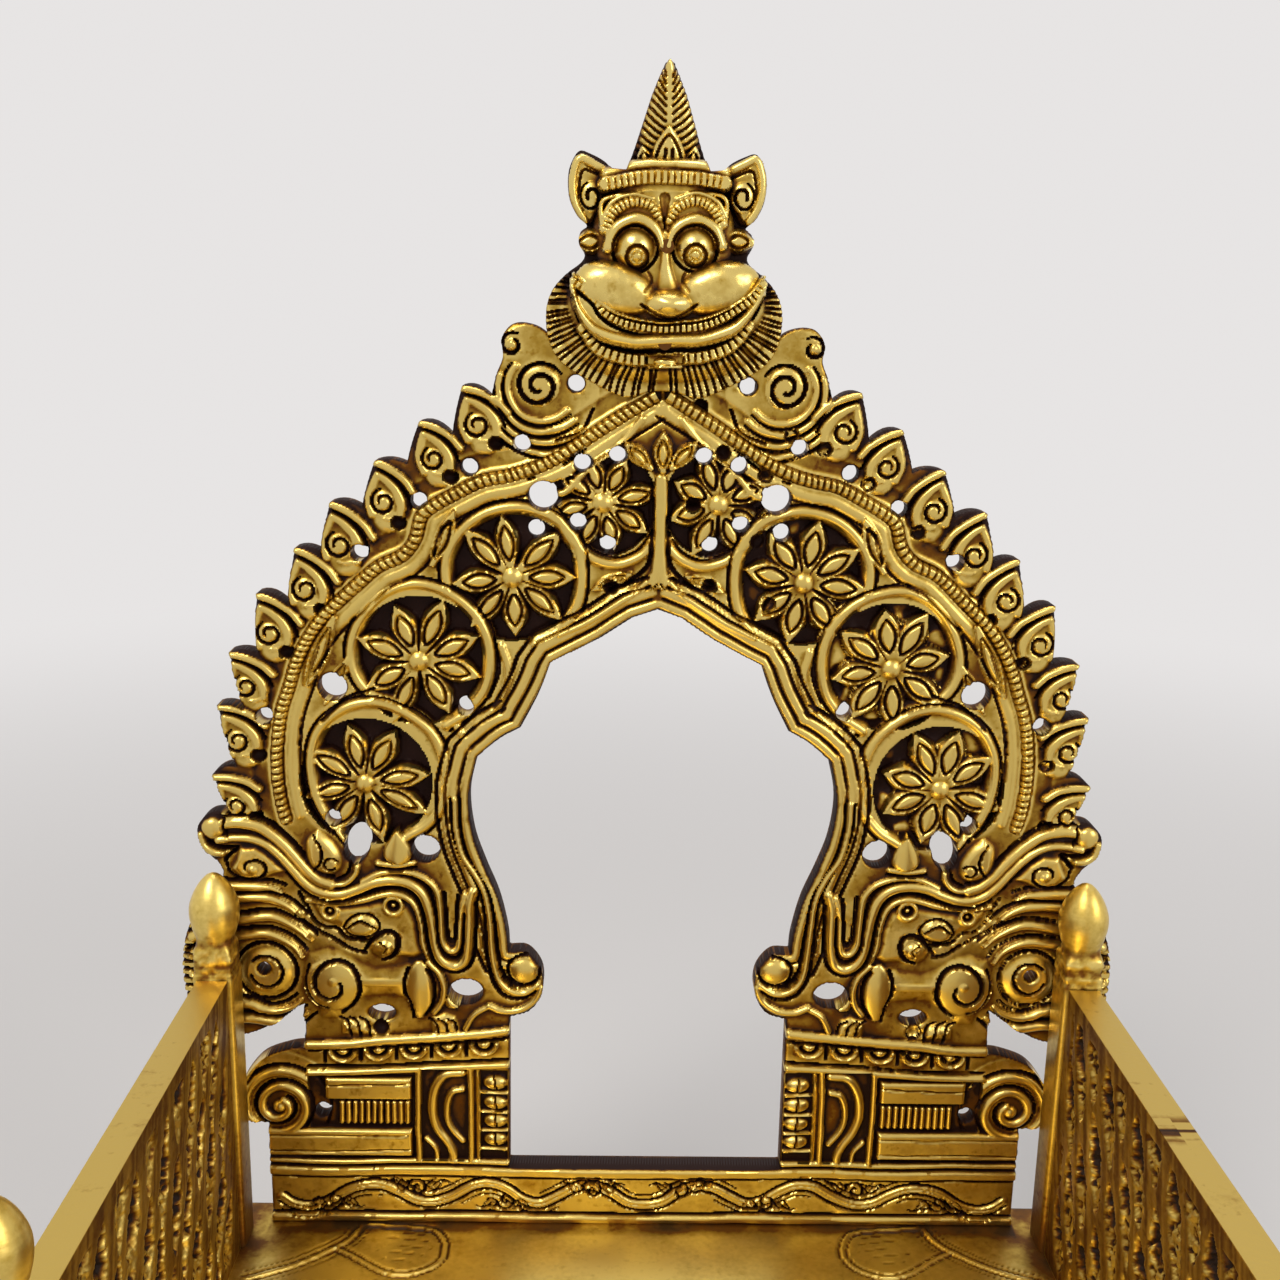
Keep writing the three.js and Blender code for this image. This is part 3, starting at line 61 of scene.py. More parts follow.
# Edges bent more than this, in degrees, are drawn sharp
SHARP_ANGLE = 58


# Lines and curves

def smooth(points, steps=6):
    """A Catmull-Rom curve through the points."""
    p = np.asarray(points, float)
    ends = np.vstack([2 * p[0] - p[1], p, 2 * p[-1] - p[-2]])
    out = []
    for i in range(1, len(ends) - 2):
        a, b, c, d = ends[i - 1:i + 3]
        for t in np.arange(steps) / steps:
            out.append(0.5 * (2 * b + (c - a) * t + (2 * a - 5 * b + 4 * c - d) * t * t
                              + (3 * b - a - 3 * c + d) * t ** 3))
    return np.array(out + [ends[-2]])


def spiral(centre, r0, r1, start, turns, steps):
    """From radius r0 to r1 round the centre; start is in degrees, anticlockwise turns are positive."""
    t = np.linspace(0, 1, steps)
    angle = math.radians(start) + t * turns * 2 * math.pi
    radius = r0 + (r1 - r0) * t
    return np.column_stack([centre[0] + radius * np.cos(angle), centre[1] + radius * np.sin(angle)])


def ring(centre, radius):
    return spiral(centre, radius, radius, 0, 1, 48)


def mirrored(points):
    """The same line on the other side of the middle."""
    return np.asarray(points, float) * (-1, 1)


def offset(points, distance):
    """The same line, moved to its left."""
    p = np.asarray(points, float)
    way = np.gradient(p, axis=0)
    left = np.column_stack([-way[:, 1], way[:, 0]])
    return p + left / np.maximum(np.hypot(way[:, 0], way[:, 1]), 1e-9)[:, None] * distance


# Profiles across a stroke, from 0 at its axis to 1 at its edge, and noise

def round_top(u):
    return np.sqrt(np.clip(1 - u * u, 0, 1))


def flat_top(u):
    """Level in the middle, falling over the outer third."""
    return np.clip((1 - u) / 0.35, 0, 1) ** 0.7


def value_noise(shape, cells, seed, octaves=3):
    """Smooth noise from -1 to 1 over a grid, with about so many cells along the longer side."""
    total, weight = np.zeros(shape), 0.0
    gen = np.random.default_rng(seed)
    for k in range(octaves):
        n = max(2, int(cells * 2 ** k))
        nz = max(2, int(n * shape[0] / max(shape))) + 3
        nx = max(2, int(n * shape[1] / max(shape))) + 3
        lattice = gen.uniform(-1, 1, (nz, nx))
        # Just short of the last node but one, so that each place has four nodes round it
        z, x = np.linspace(0, nz - 2.001, shape[0]), np.linspace(0, nx - 2.001, shape[1])
        iz, ix = z.astype(int), x.astype(int)
        fz, fx = z - iz, x - ix
        fz, fx = (fz * fz * (3 - 2 * fz))[:, None], (fx * fx * (3 - 2 * fx))[None, :]
        a, b = lattice[iz][:, ix], lattice[iz][:, ix + 1]
        c, d = lattice[iz + 1][:, ix], lattice[iz + 1][:, ix + 1]
        share = 0.5 ** k
        total += (a * (1 - fx) * (1 - fz) + b * fx * (1 - fz) + c * (1 - fx) * fz + d * fx * fz) * share
        weight += share
    return total / weight


def blurred(field, radius):
    """Three box blurs, with the edges held."""
    r = max(1, int(radius))
    for _ in range(3):
        for axis in (0, 1):
            pad = [(r + 1, r) if a == axis else (0, 0) for a in (0, 1)]
            run = np.cumsum(np.pad(field, pad, mode="edge"), axis=axis)
            high = np.take(run, range(2 * r + 1, run.shape[axis]), axis=axis)
            low = np.take(run, range(0, run.shape[axis] - 2 * r - 1), axis=axis)
            field = (high - low) / (2 * r + 1)
    return field


# Height fields

# Width of a petal along its length, as shares
PETAL_WIDTH = ([0, 0.12, 0.3, 0.5, 0.65, 0.8, 0.92, 1], [0.3, 0.5, 0.82, 1, 0.97, 0.66, 0.26, 0.03])


class Relief:
    """Ornament over a plane: u runs across, v up, and the height H stands towards the viewer.
    WU and WV are U and V a little warped, so that drawn lines waver as if cut by hand. edge is the
    distance to the outline, below 0 inside it, and tint is added to the patina."""

    def __init__(self, u0, u1, v0, v1, step, wobble=0.0, seed=1):
        self.step = step
        self.u = np.arange(u0, u1 + step / 2, step)
        self.v = np.arange(v0, v1 + step / 2, step)
        self.U, self.V = np.meshgrid(self.u, self.v)
        self.WU = self.U + wobble * value_noise(self.U.shape, 14, seed)
        self.WV = self.V + wobble * value_noise(self.U.shape, 14, seed + 50)
        self.H = np.zeros_like(self.U)
        self.edge = np.full_like(self.U, FAR_INSIDE)
        self.tint = np.zeros_like(self.U)

    def window(self, points, pad):
        """The rows and columns that hold the points, with a margin."""
        p = np.asarray(points, float)
        low, high = p.min(0) - pad, p.max(0) + pad
        i0, i1 = np.searchsorted(self.v, [low[1], high[1]])
        j0, j1 = np.searchsorted(self.u, [low[0], high[0]])
        return slice(i0, max(i1, i0 + 1)), slice(j0, max(j1, j0 + 1))

    def along(self, points, pad, warped=True):
        """The window of a line, and each cell's distance to it and place along it."""
        p = np.asarray(points, float)
        win = self.window(p, pad)
        U, V = (self.WU[win], self.WV[win]) if warped else (self.U[win], self.V[win])
        best, place = np.full(U.shape, 1e9), np.zeros(U.shape)
        side, total = np.zeros(U.shape), 0.0
        us, vs = self.u[win[1]], self.v[win[0]]
        for (a, b), (c, d) in zip(p[:-1], p[1:]):
            du, dv = c - a, d - b
            length = math.hypot(du, dv)
            if length < 1e-9:
                continue
            i0, i1 = np.searchsorted(vs, [min(b, d) - pad, max(b, d) + pad])
            j0, j1 = np.searchsorted(us, [min(a, c) - pad, max(a, c) + pad])
            sub = (slice(i0, i1), slice(j0, j1))
            u, v = U[sub] - a, V[sub] - b
            t = np.clip((u * du + v * dv) / length ** 2, 0, 1)
            d2 = (u - t * du) ** 2 + (v - t * dv) ** 2
            nearer = d2 < best[sub]
            best[sub] = np.where(nearer, d2, best[sub])
            place[sub] = np.where(nearer, total + t * length, place[sub])
            side[sub] = np.where(nearer, np.sign(du * v - dv * u), side[sub])
            total += length
        return win, np.sqrt(best), place, side, total

    def put(self, win, height, mode):
        if mode == "max":
            self.H[win] = np.maximum(self.H[win], height)
        elif mode == "add":
            self.H[win] += height
        elif mode == "min":
            self.H[win] = np.minimum(self.H[win], height)

    def stroke(self, points, width, height, profile=round_top, taper=(1, 1), base=0.0, mode="max",
               ribs=0.0, rib_depth=0.35, slant=0.0):
        """A ridge along a line. ribs is the pitch of notches across it."""
        win, dist, place, side, total = self.along(points, width / 2 + 1.0)
        share = place / max(total, 1e-9)
        half = width / 2 * np.interp(share, np.linspace(0, 1, len(taper)), taper)
        u = np.clip(dist / np.maximum(half, 1e-3), 0, 1)
        rise = height * profile(u) * (u < 1)
        if ribs:
            wave = np.cos((place + slant * dist * side) / ribs * 2 * math.pi)
            rise = rise * (1 - rib_depth * np.clip(-0.5 - 1.5 * wave, 0, 1))
        if mode == "max":
            self.put(win, np.where(u < 1, base + rise, NOTHING), "max")
        else:
            self.put(win, rise * (1 if mode == "add" else -1), "add")

    def cut(self, points, width, depth, **shape):
        """A groove along a line."""
        self.stroke(points, width, depth, mode="cut", **shape)

    def oval(self, u, v, centre, ru, rv, turn):
        """Distance of each place from the centre, as a share of the oval's radius."""
        u, v = u - centre[0], v - centre[1]
        cosine, sine = math.cos(math.radians(turn)), math.sin(math.radians(turn))
        return np.hypot((u * cosine + v * sine) / ru, (-u * sine + v * cosine) / rv)

    def dome(self, centre, ru, rv, height, base=0.0, turn=0.0, power=2.0, mode="max"):
        win = self.window([centre], max(ru, rv) + 0.5)
        r = self.oval(self.WU[win], self.WV[win], centre, ru, rv, turn)
        rise = height * np.clip(1 - r ** power, 0, 1) ** 0.5
        self.put(win, np.where(r < 1, base + rise, NOTHING) if mode == "max" else rise * (r < 1), mode)

    def blade(self, foot, tip, width):
        """The window of a leaf, each cell's share of the way to its tip and distance from its midrib."""
        foot, tip = np.asarray(foot, float), np.asarray(tip, float)
        win = self.window([foot, tip], width)
        axis = tip - foot
        length = float(np.hypot(*axis))
        axis = axis / length
        u, v = self.WU[win] - foot[0], self.WV[win] - foot[1]
        return win, (u * axis[0] + v * axis[1]) / length, np.abs(-u * axis[1] + v * axis[0])

    def leaf(self, foot, tip, width, height, base=0.0, fullness=0.55, veined=True):
        """A pointed leaf with a raised rim, a hollow and a smaller leaf in it."""
        win, t, across = self.blade(foot, tip, width)
        tc = np.clip(t, 0, 1)
        half = width / 2 * np.sin(math.pi * tc ** (math.log(0.5) / math.log(fullness))) ** 0.8 + 1e-3
        e = across / half
        rise = height * round_top(np.clip(e, 0, 1)) ** 0.6
        if veined:
            t2 = np.clip((tc - 0.22) / 0.6, 0, 1)
            inner = width * 0.24 * np.sin(math.pi * t2) + 1e-3
            q = across / inner
            hollow = np.clip(1.35 - np.abs(q - 1.25) / 0.5, 0, 1) * (t > 0.18) * (t < 0.86)
            rise = rise - height * 0.55 * np.clip(hollow, 0, 1)
        self.put(win, np.where((t > 0) & (t < 1) & (e < 1), base + rise, NOTHING), "max")

    def petal(self, foot, tip, width, height, base):
        """A spade-shaped petal: a raised rim, a dark line inside it and a smaller leaf in the middle."""
        win, t, across = self.blade(foot, tip, width)
        tc = np.clip(t, 0, 1)
        share = np.interp(tc, *PETAL_WIDTH)
        e = across / (width / 2 * share)
        rise = height * np.clip((1 - e) / 0.4, 0, 1) ** 0.55
        inner = width * 0.235 * np.sin(math.pi * np.clip((tc - 0.16) / 0.62, 0, 1)) ** 0.8 + 1e-3
        gap = np.clip(1 - np.abs(across - inner) / 0.42, 0, 1) * (tc > 0.15) * (tc < 0.8)
        rise = rise - 1.0 * gap ** 0.7 + 0.25 * np.clip(1 - across / inner, 0, 1)
        self.put(win, np.where((t > 0) & (t < 1) & (e < 1), base + rise, NOTHING), "max")

    def plain(self, outline, level, mode="max", soft=0.6):
        """A flat area inside an outline: raised with softened edges, or levelled down by "min"."""
        win, dist, _, _, _ = self.along(np.vstack([outline, outline[:1]]), 3.0, warped=False)
        inside = self.inside(outline, win)
        rise = np.clip(np.minimum(dist, soft) / soft, 0, 1) ** 0.5
        if mode == "max":
            self.put(win, np.where(inside, level * rise, NOTHING), "max")
        else:
            self.put(win, np.where(inside, level, -NOTHING), "min")

    def inside(self, outline, win=None):
        """Which cells of the window lie inside the outline, found row by row."""
        win = win or (slice(0, len(self.v)), slice(0, len(self.u)))
        p = np.asarray(outline, float)
        u, v = self.u[win[1]], self.v[win[0]]
        out = np.zeros((len(v), len(u)), bool)
        nxt = np.roll(p, -1, axis=0)
        for i, y in enumerate(v):
            cross = (p[:, 1] > y) != (nxt[:, 1] > y)
            a, b = p[cross], nxt[cross]
            xs = np.sort(a[:, 0] + (y - a[:, 1]) * (b[:, 0] - a[:, 0]) / (b[:, 1] - a[:, 1]))
            out[i] = (np.searchsorted(xs, u) % 2) == 1
        return out

    def outline(self, points, keep_inside=True):
        """Cuts the field to an outline, or cuts the outline out of it."""
        reach = 3.0
        closed = np.vstack([points, points[:1]])
        win, dist, _, _, _ = self.along(closed, reach, warped=False)
        full = np.full_like(self.U, reach)
        full[win] = np.minimum(dist, reach)
        signed = np.where(self.inside(points), -full, full)
        self.edge = np.maximum(self.edge, signed if keep_inside else -signed)

    def hole(self, centre, ru, rv=None, turn=0.0):
        """Drills or files through: round, or oval with rv."""
        rv = rv or ru
        win = self.window([centre], max(ru, rv) + 3)
        signed = (1 - self.oval(self.U[win], self.V[win], centre, ru, rv, turn)) * min(ru, rv)
        self.edge[win] = np.maximum(self.edge[win], signed)

    def rounded(self, radius):
        """Rounds the front edge all along the outline and the holes."""
        inward = np.clip(-self.edge, 0, radius)
        drop = radius - np.sqrt(np.clip(radius ** 2 - (radius - inward) ** 2, 0, None))
        self.H = self.H - drop * EDGE_WEAR

    def shade(self, fine, broad, gain):
        """How far each place lies in a hollow: below 0 on raised work, 1 in a deep recess.
        fine and broad are the distances at which it is compared with what lies round it."""
        weight = np.where(self.edge < 0, 1.0, 1e-3)
        out = np.zeros_like(self.H)
        for radius, share in ((fine, FINE_HOLLOW), (broad, BROAD_HOLLOW)):
            cells = radius / self.step
            mean = blurred(self.H * weight, cells) / blurred(weight, cells)
            out += gain * share * (mean - self.H)
        return np.clip(out + self.tint, -1, 2)


def new_mesh(name, verts, faces, patina):
    """A mesh in metres. faces is a list of arrays of faces, patina has a value for each vertex."""
    mesh = bpy.data.meshes.new(name)
    verts = np.asarray(verts, np.float32)
    mesh.vertices.add(len(verts))
    mesh.vertices.foreach_set("co", verts.ravel())
    loops = np.concatenate([np.asarray(f, np.int32).ravel() for f in faces])
    sizes = np.concatenate([np.full(len(f), np.asarray(f).shape[1], np.int32) for f in faces])
    starts = np.concatenate([[0], np.cumsum(sizes)[:-1]]).astype(np.int32)
    mesh.loops.add(len(loops))
    mesh.loops.foreach_set("vertex_index", loops)
    mesh.polygons.add(len(sizes))
    mesh.polygons.foreach_set("loop_start", starts)
    mesh.update(calc_edges=True)
    mesh.validate()
    layer = mesh.attributes.new("patina", "FLOAT", "POINT")
    layer.data.foreach_set("value", np.asarray(patina, np.float32))
    obj = bpy.data.objects.new(name, mesh)
    bpy.context.scene.collection.objects.link(obj)
    mesh.polygons.foreach_set("use_smooth", np.ones(len(mesh.polygons), bool))
    mesh.set_sharp_from_angle(angle=math.radians(SHARP_ANGLE))
    return obj


def relief_mesh(name, field, place, back, wall_patina=0.4, back_patina=0.35, fine=0.7, broad=2.8,
                gain=1.0):
    """A closed mesh: the relief in front, walls round its cuts and a flat back.
    place(u, v, height) gives points in millimetres; back is the height of the flat side."""
    e = field.edge
    nv, nu = e.shape
    centre = (e[:-1, :-1] + e[1:, :-1] + e[:-1, 1:] + e[1:, 1:]) / 4
    cell = centre < 0
    used, full = np.zeros(e.shape, bool), np.ones(e.shape, bool)
    for di, dj in ((0, 0), (0, 1), (1, 0), (1, 1)):
        used[di:nv - 1 + di, dj:nu - 1 + dj] |= cell
        full[di:nv - 1 + di, dj:nu - 1 + dj] &= cell
    full[0, :] = full[-1, :] = False
    full[:, 0] = full[:, -1] = False
    rim = used & ~full
    gv, gu = np.gradient(e, field.step)
    size = np.maximum(np.hypot(gu, gv), 0.3)
    shift = np.where(rim, np.clip(e, -field.step, field.step), 0)
    U, V = field.U - shift * gu / size, field.V - shift * gv / size
    number = np.cumsum(used.ravel()).reshape(e.shape) - 1
    shade = field.shade(fine, broad, gain)
    front = place(U[used], V[used], field.H[used])
    a, b = number[:-1, :-1][cell], number[:-1, 1:][cell]
    c, d = number[1:, 1:][cell], number[1:, :-1][cell]
    quads = np.column_stack([a, b, c, d])
    count = len(front)
    # Walls, from each rim edge to the back
    walls = []
    solid = np.pad(cell, 1)
    for di, dj, first, last in ((-1, 0, (0, 0), (0, 1)), (1, 0, (1, 1), (1, 0)),
                                (0, -1, (1, 0), (0, 0)), (0, 1, (0, 1), (1, 1))):
        bare = cell & ~solid[1 + di:nv + di, 1 + dj:nu + dj]
        i, j = np.nonzero(bare)
        p, q = number[i + first[0], j + first[1]], number[i + last[0], j + last[1]]
        walls.append(np.column_stack([p, q]))
    walls = np.vstack(walls)
    rims = np.unique(walls)
    foot = np.full(count, -1)
    foot[rims] = count + np.arange(len(rims))
    Uu, Vu = U[used], V[used]
    backs = place(Uu[rims], Vu[rims], np.full(len(rims), back))
    wall_quads = np.column_stack([walls[:, 1], walls[:, 0], foot[walls[:, 0]], foot[walls[:, 1]]])
    # Back, in large flat cells where nothing is cut and in small ones at the rim
    low = shade[used][rims] if wall_patina is None else np.full(len(rims), wall_patina)
    verts, patina = [front, backs], [shade[used], low]
    extra = []
    number_back = np.full(e.shape, -1)
    lookup = np.full(count, -1)
    lookup[rims] = foot[rims]
    number_back[used] = lookup
    total = count + len(rims)

    def corner(i, j):
        nonlocal total
        if number_back[i, j] < 0:
            number_back[i, j] = total
            extra.append((U[i, j], V[i, j]))
            total += 1
        return number_back[i, j]

    back_quads, left = [], cell.copy()
    for block in (16, 8, 4, 2, 1):
        ni, nj = (nv - 1) // block, (nu - 1) // block
        tiles = left[:ni * block, :nj * block].reshape(ni, block, nj, block).all(axis=(1, 3))
        for i, j in zip(*np.nonzero(tiles)):
            i0, j0, i1, j1 = i * block, j * block, (i + 1) * block, (j + 1) * block
            left[i0:i1, j0:j1] = False
            back_quads.append((corner(i0, j0), corner(i1, j0), corner(i1, j1), corner(i0, j1)))
    if extra:
        extra = np.array(extra)
        verts.append(place(extra[:, 0], extra[:, 1], np.full(len(extra), back)))
        patina.append(np.full(len(extra), back_patina))
    verts, patina = np.vstack(verts) * MM, np.concatenate(patina)
    return new_mesh(name, verts, [quads, wall_quads, np.array(back_quads)], patina)


# Back arch

def halves(shares):
    return np.asarray(shares, float) * (ARCH_HALF, ARCH_HEIGHT)


CREST_SHARES = [[0, 0.885], [0.11, 0.87], [0.165, 0.823], [0.207, 0.788]]
SHOULDER_SHARES = [[0.207, 0.788], [0.245, 0.8], [0.29, 0.802], [0.315, 0.79], [0.312, 0.776],
                   [0.327, 0.76], [0.334, 0.745]]
TIP_SHARES = [[0.391, 0.753], [0.476, 0.724], [0.565, 0.692], [0.655, 0.658], [0.728, 0.62],
              [0.808, 0.582], [0.868, 0.532], [0.898, 0.486], [0.915, 0.425]]
NOTCH_SHARES = [[0.334, 0.745], [0.412, 0.714], [0.502, 0.69], [0.593, 0.654], [0.677, 0.617],
                [0.746, 0.572], [0.812, 0.531], [0.843, 0.482], [0.866, 0.432], [0.88, 0.392]]
SNOUT_SHARES = [[0.88, 0.392], [0.925, 0.39], [0.953, 0.376], [0.94, 0.358], [0.912, 0.345],
                [0.905, 0.333], [0.94, 0.312], [0.982, 0.286], [1, 0.25], [0.99, 0.215],
                [0.955, 0.193], [0.9, 0.183], [0.836, 0.189], [0.745, 0.212]]
BRACKET_SHARES = [[0.745, 0.172], [0.78, 0.17], [0.837, 0.161], [0.874, 0.144], [0.892, 0.128],
                  [0.892, 0.113], [0.87, 0.101], [0.83, 0.097]]
SLAB_SHARE = 0.83
SLAB_HALF = SLAB_SHARE * ARCH_HALF
PILLAR_SHARE = 0.301
OPENING_CROWN_SHARES = [[0, 0.573], [0.05, 0.566], [0.116, 0.548], [0.216, 0.527]]
OPENING_WAIST_SHARES = [[0.216, 0.527], [0.24, 0.5], [0.277, 0.47]]
OPENING_HIP_SHARES = [[0.277, 0.47], [0.32, 0.46], [0.367, 0.444]]
OPENING_BELLY_SHARES = [[0.367, 0.444], [0.384, 0.41], [0.376, 0.375], [0.352, 0.345],
                        [0.324, 0.316], [0.306, 0.285], [0.302, 0.266]]
OPENING_CURL_SHARES = [[0.302, 0.266], [0.262, 0.265], [0.232, 0.249], [0.23, 0.228],
                       [0.255, 0.21], [0.301, 0.203]]
ROPE_SHARES = [[0.012, 0.748], [0.118, 0.721], [0.198, 0.699], [0.277, 0.684], [0.356, 0.677],
               [0.424, 0.662], [0.475, 0.648], [0.498, 0.62], [0.565, 0.605], [0.627, 0.582],
               [0.676, 0.563], [0.722, 0.535], [0.749, 0.504], [0.768, 0.481], [0.778, 0.455],
               [0.782, 0.43], [0.775, 0.4], [0.758, 0.372]]
SMALL_HOLE_SHARES = [[0.169, 0.756], [0.275, 0.708], [0.379, 0.688], [0.48, 0.66], [0.6, 0.617],
                     [0.803, 0.477], [0.086, 0.7], [0.156, 0.693], [0.163, 0.645], [0.247, 0.638],
                     [0.103, 0.627], [0.39, 0.487], [0.668, 0.387], [0.711, 0.109]]
LARGE_HOLE_SHARES = [[0.233, 0.666], [0.662, 0.503], [0.476, 0.36]]
ROSETTES = {"lower": (55.0, 94.9, 12.4), "middle": (44.4, 119.0, 12.2),
            "upper": (27.0, 135.2, 11.8), "top": (10.6, 149.3, 9.8)}
ROSETTE_TURNS = {-1: {"lower": 15, "middle": 26, "upper": 4, "top": 14},
                 1: {"lower": 28, "middle": 12, "upper": -10, "top": 22}}
DRILL = 1.55
LARGE_DRILL = 2.7
# Radius and depth of a hole that was begun and not drilled through
BLIND_PIT = (1.4, 2.2)


def tooth_edge():
    """The serrated edge on the right, one leaf tooth after another."""
    line = []
    tips, notches = halves(TIP_SHARES), halves(NOTCH_SHARES)
    for tip, start, end in zip(tips, notches, notches[1:]):
        lift = (tip[0] - start[0]) * 0.18
        rise = np.array([(start[0] + tip[0]) / 2, max(start[1], tip[1]) + lift])
        hook = (tip + end) / 2 + (0.45, 0.0)
        for a, b, c in ((start, rise, tip), (tip, hook, end)):
            for t in np.arange(6) / 6:
                line.append(a * (1 - t) ** 2 + 2 * b * t * (1 - t) + c * t * t)
    return np.array(line)


def arch_outline():
    """Right half from the crest down to the bar, then its mirror image."""
    right = np.vstack([halves(CREST_SHARES)[:-1], smooth(halves(SHOULDER_SHARES))[:-1], tooth_edge(),
                       smooth(halves(SNOUT_SHARES)), smooth(halves(BRACKET_SHARES)), [[SLAB_HALF, 0]]])
    return np.vstack([right, mirrored(right[1:])[::-1]])


def opening_half():
    """Right side of the keyhole, from its crown down to the curl over the pillar."""
    return np.vstack([halves(OPENING_CROWN_SHARES)[:-1], smooth(halves(OPENING_WAIST_SHARES))[:-1],
                      smooth(halves(OPENING_HIP_SHARES))[:-1], smooth(halves(OPENING_BELLY_SHARES))[:-1],
                      smooth(halves(OPENING_CURL_SHARES))])


def opening_outline():
    right = np.vstack([opening_half(), [[PILLAR_SHARE * ARCH_HALF, BAR_HEIGHT]]])
    return np.vstack([right, mirrored(right[1:])[::-1]])


# Widths of the lines cut into the arch
FINE = 0.46
THIN = 0.53
LINE = 0.61
BOLD = 0.68


class Side:
    """One half of the arch: points are (outward, up) and land left or right of the middle."""

    def __init__(self, field, side):
        self.field = field
        self.side = side

    def at(self, points):
        return np.atleast_2d(np.asarray(points, float)) * (self.side, 1)

    def curve(self, points, *args, **kwargs):
        self.field.stroke(self.at(smooth(points)), *args, **kwargs)

    def line(self, points, *args, **kwargs):
        self.field.stroke(self.at(points), *args, **kwargs)

    def cut(self, points, *args, **kwargs):
        self.field.cut(self.at(smooth(points)), *args, **kwargs)

    def cut_line(self, points, *args, **kwargs):
        self.field.cut(self.at(points), *args, **kwargs)

    def dome(self, centre, *args, turn=0.0, **kwargs):
        self.field.dome(self.at(centre)[0], *args, turn=turn * self.side, **kwargs)

    def ring(self, centre, radius, width, height, **kwargs):
        self.line(ring(centre, radius), width, height, **kwargs)

    def leaf(self, foot, tip, *args, **kwargs):
        self.field.leaf(self.at(foot)[0], self.at(tip)[0], *args, **kwargs)

    def area(self, outline, *args, **kwargs):
        self.field.plain(self.at(outline), *args, **kwargs)

    def petal(self, foot, tip, *args):
        self.field.petal(self.at(foot)[0], self.at(tip)[0], *args)

    def pit(self, centre, radius, depth):
        self.field.dome(self.at(centre)[0], radius, radius, -depth, mode="add")

    def block(self, u0, u1, v0, v1, height, soft=0.7, mode="max"):
        self.area([(u0, v0), (u1, v0), (u1, v1), (u0, v1)], height, soft=soft, mode=mode)


# Tooth of the crest, measured inwards and down from its tip; its curl is round TOOTH_CURL
TOOTH_CURL = (1.8, 8.4)
TOOTH_CURL_RADIUS = 2.7
TOOTH_RIM = [(0.3, 0.6), (2.4, 1.5), (4.5, 2.7), (6.6, 4.4), (8.2, 6.8)]
TOOTH_GROOVE = [(0.7, 1.9), (2.8, 3.0), (4.8, 4.7), (6.4, 7.0), (7.2, 9.6)]
TOOTH_LEAF = [(0.6, 2.9), (2.6, 4.2), (4.5, 6.2), (5.4, 8.8), (5.2, 11.6)]
TOOTH_EDGE = [(0.5, 3.4), (-0.5, 5.6), (-1.2, 8.2), (-0.6, 11.0)]
TOOTH_FOOT = [(5.0, 11.3), (3.4, 11.9), (1.6, 11.6)]
TOOTH_PIT = (4.8, 12.6)
CURL_OFFSETS = [(2.9, 7.0), (2.5, 6.8), (1.4, 7.6), (1.5, 8.0), (1.7, 7.8), (2.1, 7.6), (2.9, 6.7),
                (3.6, 6.9), (4.2, 6.0)]


def draw_teeth(half):
    """The leaf teeth, each turned and scaled so that its curl comes where CURL_OFFSETS says."""
    rope = smooth(halves(ROPE_SHARES), 5)
    half.cut_line(offset(rope, 3.3), 3.4, 0.35, profile=flat_top)
    home = np.array(TOOTH_CURL)
    drilled = halves(SMALL_HOLE_SHARES)
    for tip, curl in zip(halves(TIP_SHARES), CURL_OFFSETS):
        size = math.hypot(*curl) / math.hypot(*home)
        turn = math.atan2(home[0], home[1]) - math.atan2(curl[0], curl[1])
        c, sn = math.cos(turn) * size, math.sin(turn) * size

        def shape(points):
            return [(tip[0] - (u * c - v * sn), tip[1] - (u * sn + v * c)) for u, v in points]

        half.line(shape([(1.4, 3.6), TOOTH_CURL, (2.6, 11.4)]), 8.4 * size, 0.6, base=0.75,
                  profile=flat_top, taper=(0.3, 1, 0.8))
        half.curve(shape(TOOTH_RIM), 1.5, 1.0, base=0.95)
        half.curve(shape(TOOTH_LEAF), 2.0, 1.0, base=0.9, taper=(0.7, 1, 1.1, 0.7))
        half.curve(shape(TOOTH_EDGE), 1.8, 0.8, base=0.9)
        half.curve(shape(TOOTH_FOOT), 1.2, 0.8, base=0.8, taper=(0.6, 1, 0.5))
        half.dome(shape([TOOTH_CURL])[0], 2.5 * size, 2.5 * size, 1.0, base=1.0)
        half.cut(shape(TOOTH_GROOVE), 0.6, 1.2, taper=(0.4, 1, 1, 0.8))
        half.cut_line(shape(spiral(TOOTH_CURL, TOOTH_CURL_RADIUS, 0.9, -105, -1.25, 36)), 0.6, 1.0,
                      taper=(0.3, 0.9, 1.1, 1, 0.7))
        pit = np.array(shape([TOOTH_PIT])[0])
        if np.hypot(*(drilled - pit).T).min() > 3.6:
            half.pit(pit, *BLIND_PIT)


# Rope: step along it, places across it, its half width, and the pitch, reach and depth of its notches
ROPE_STEP = 0.2
ROPE_ACROSS = 13
ROPE_HALF = 1.32
NOTCHES = 150
NOTCH_PITCH = (1.12, 1.5)
NOTCH_SLANT = 0.18
NOTCH_REACH = 0.31
NOTCH_DEPTH = 0.7


def rope_line(side):
    """The rope's axis in even short steps, and the place of each point along it."""
    line = smooth(smooth(halves(ROPE_SHARES), 3)[::2], 8) * (side, 1)
    length = np.concatenate([[0], np.cumsum(np.hypot(*np.diff(line, axis=0).T))])
    at = np.arange(0, length[-1], ROPE_STEP)
    return np.column_stack([np.interp(at, length, line[:, k]) for k in (0, 1)]), at


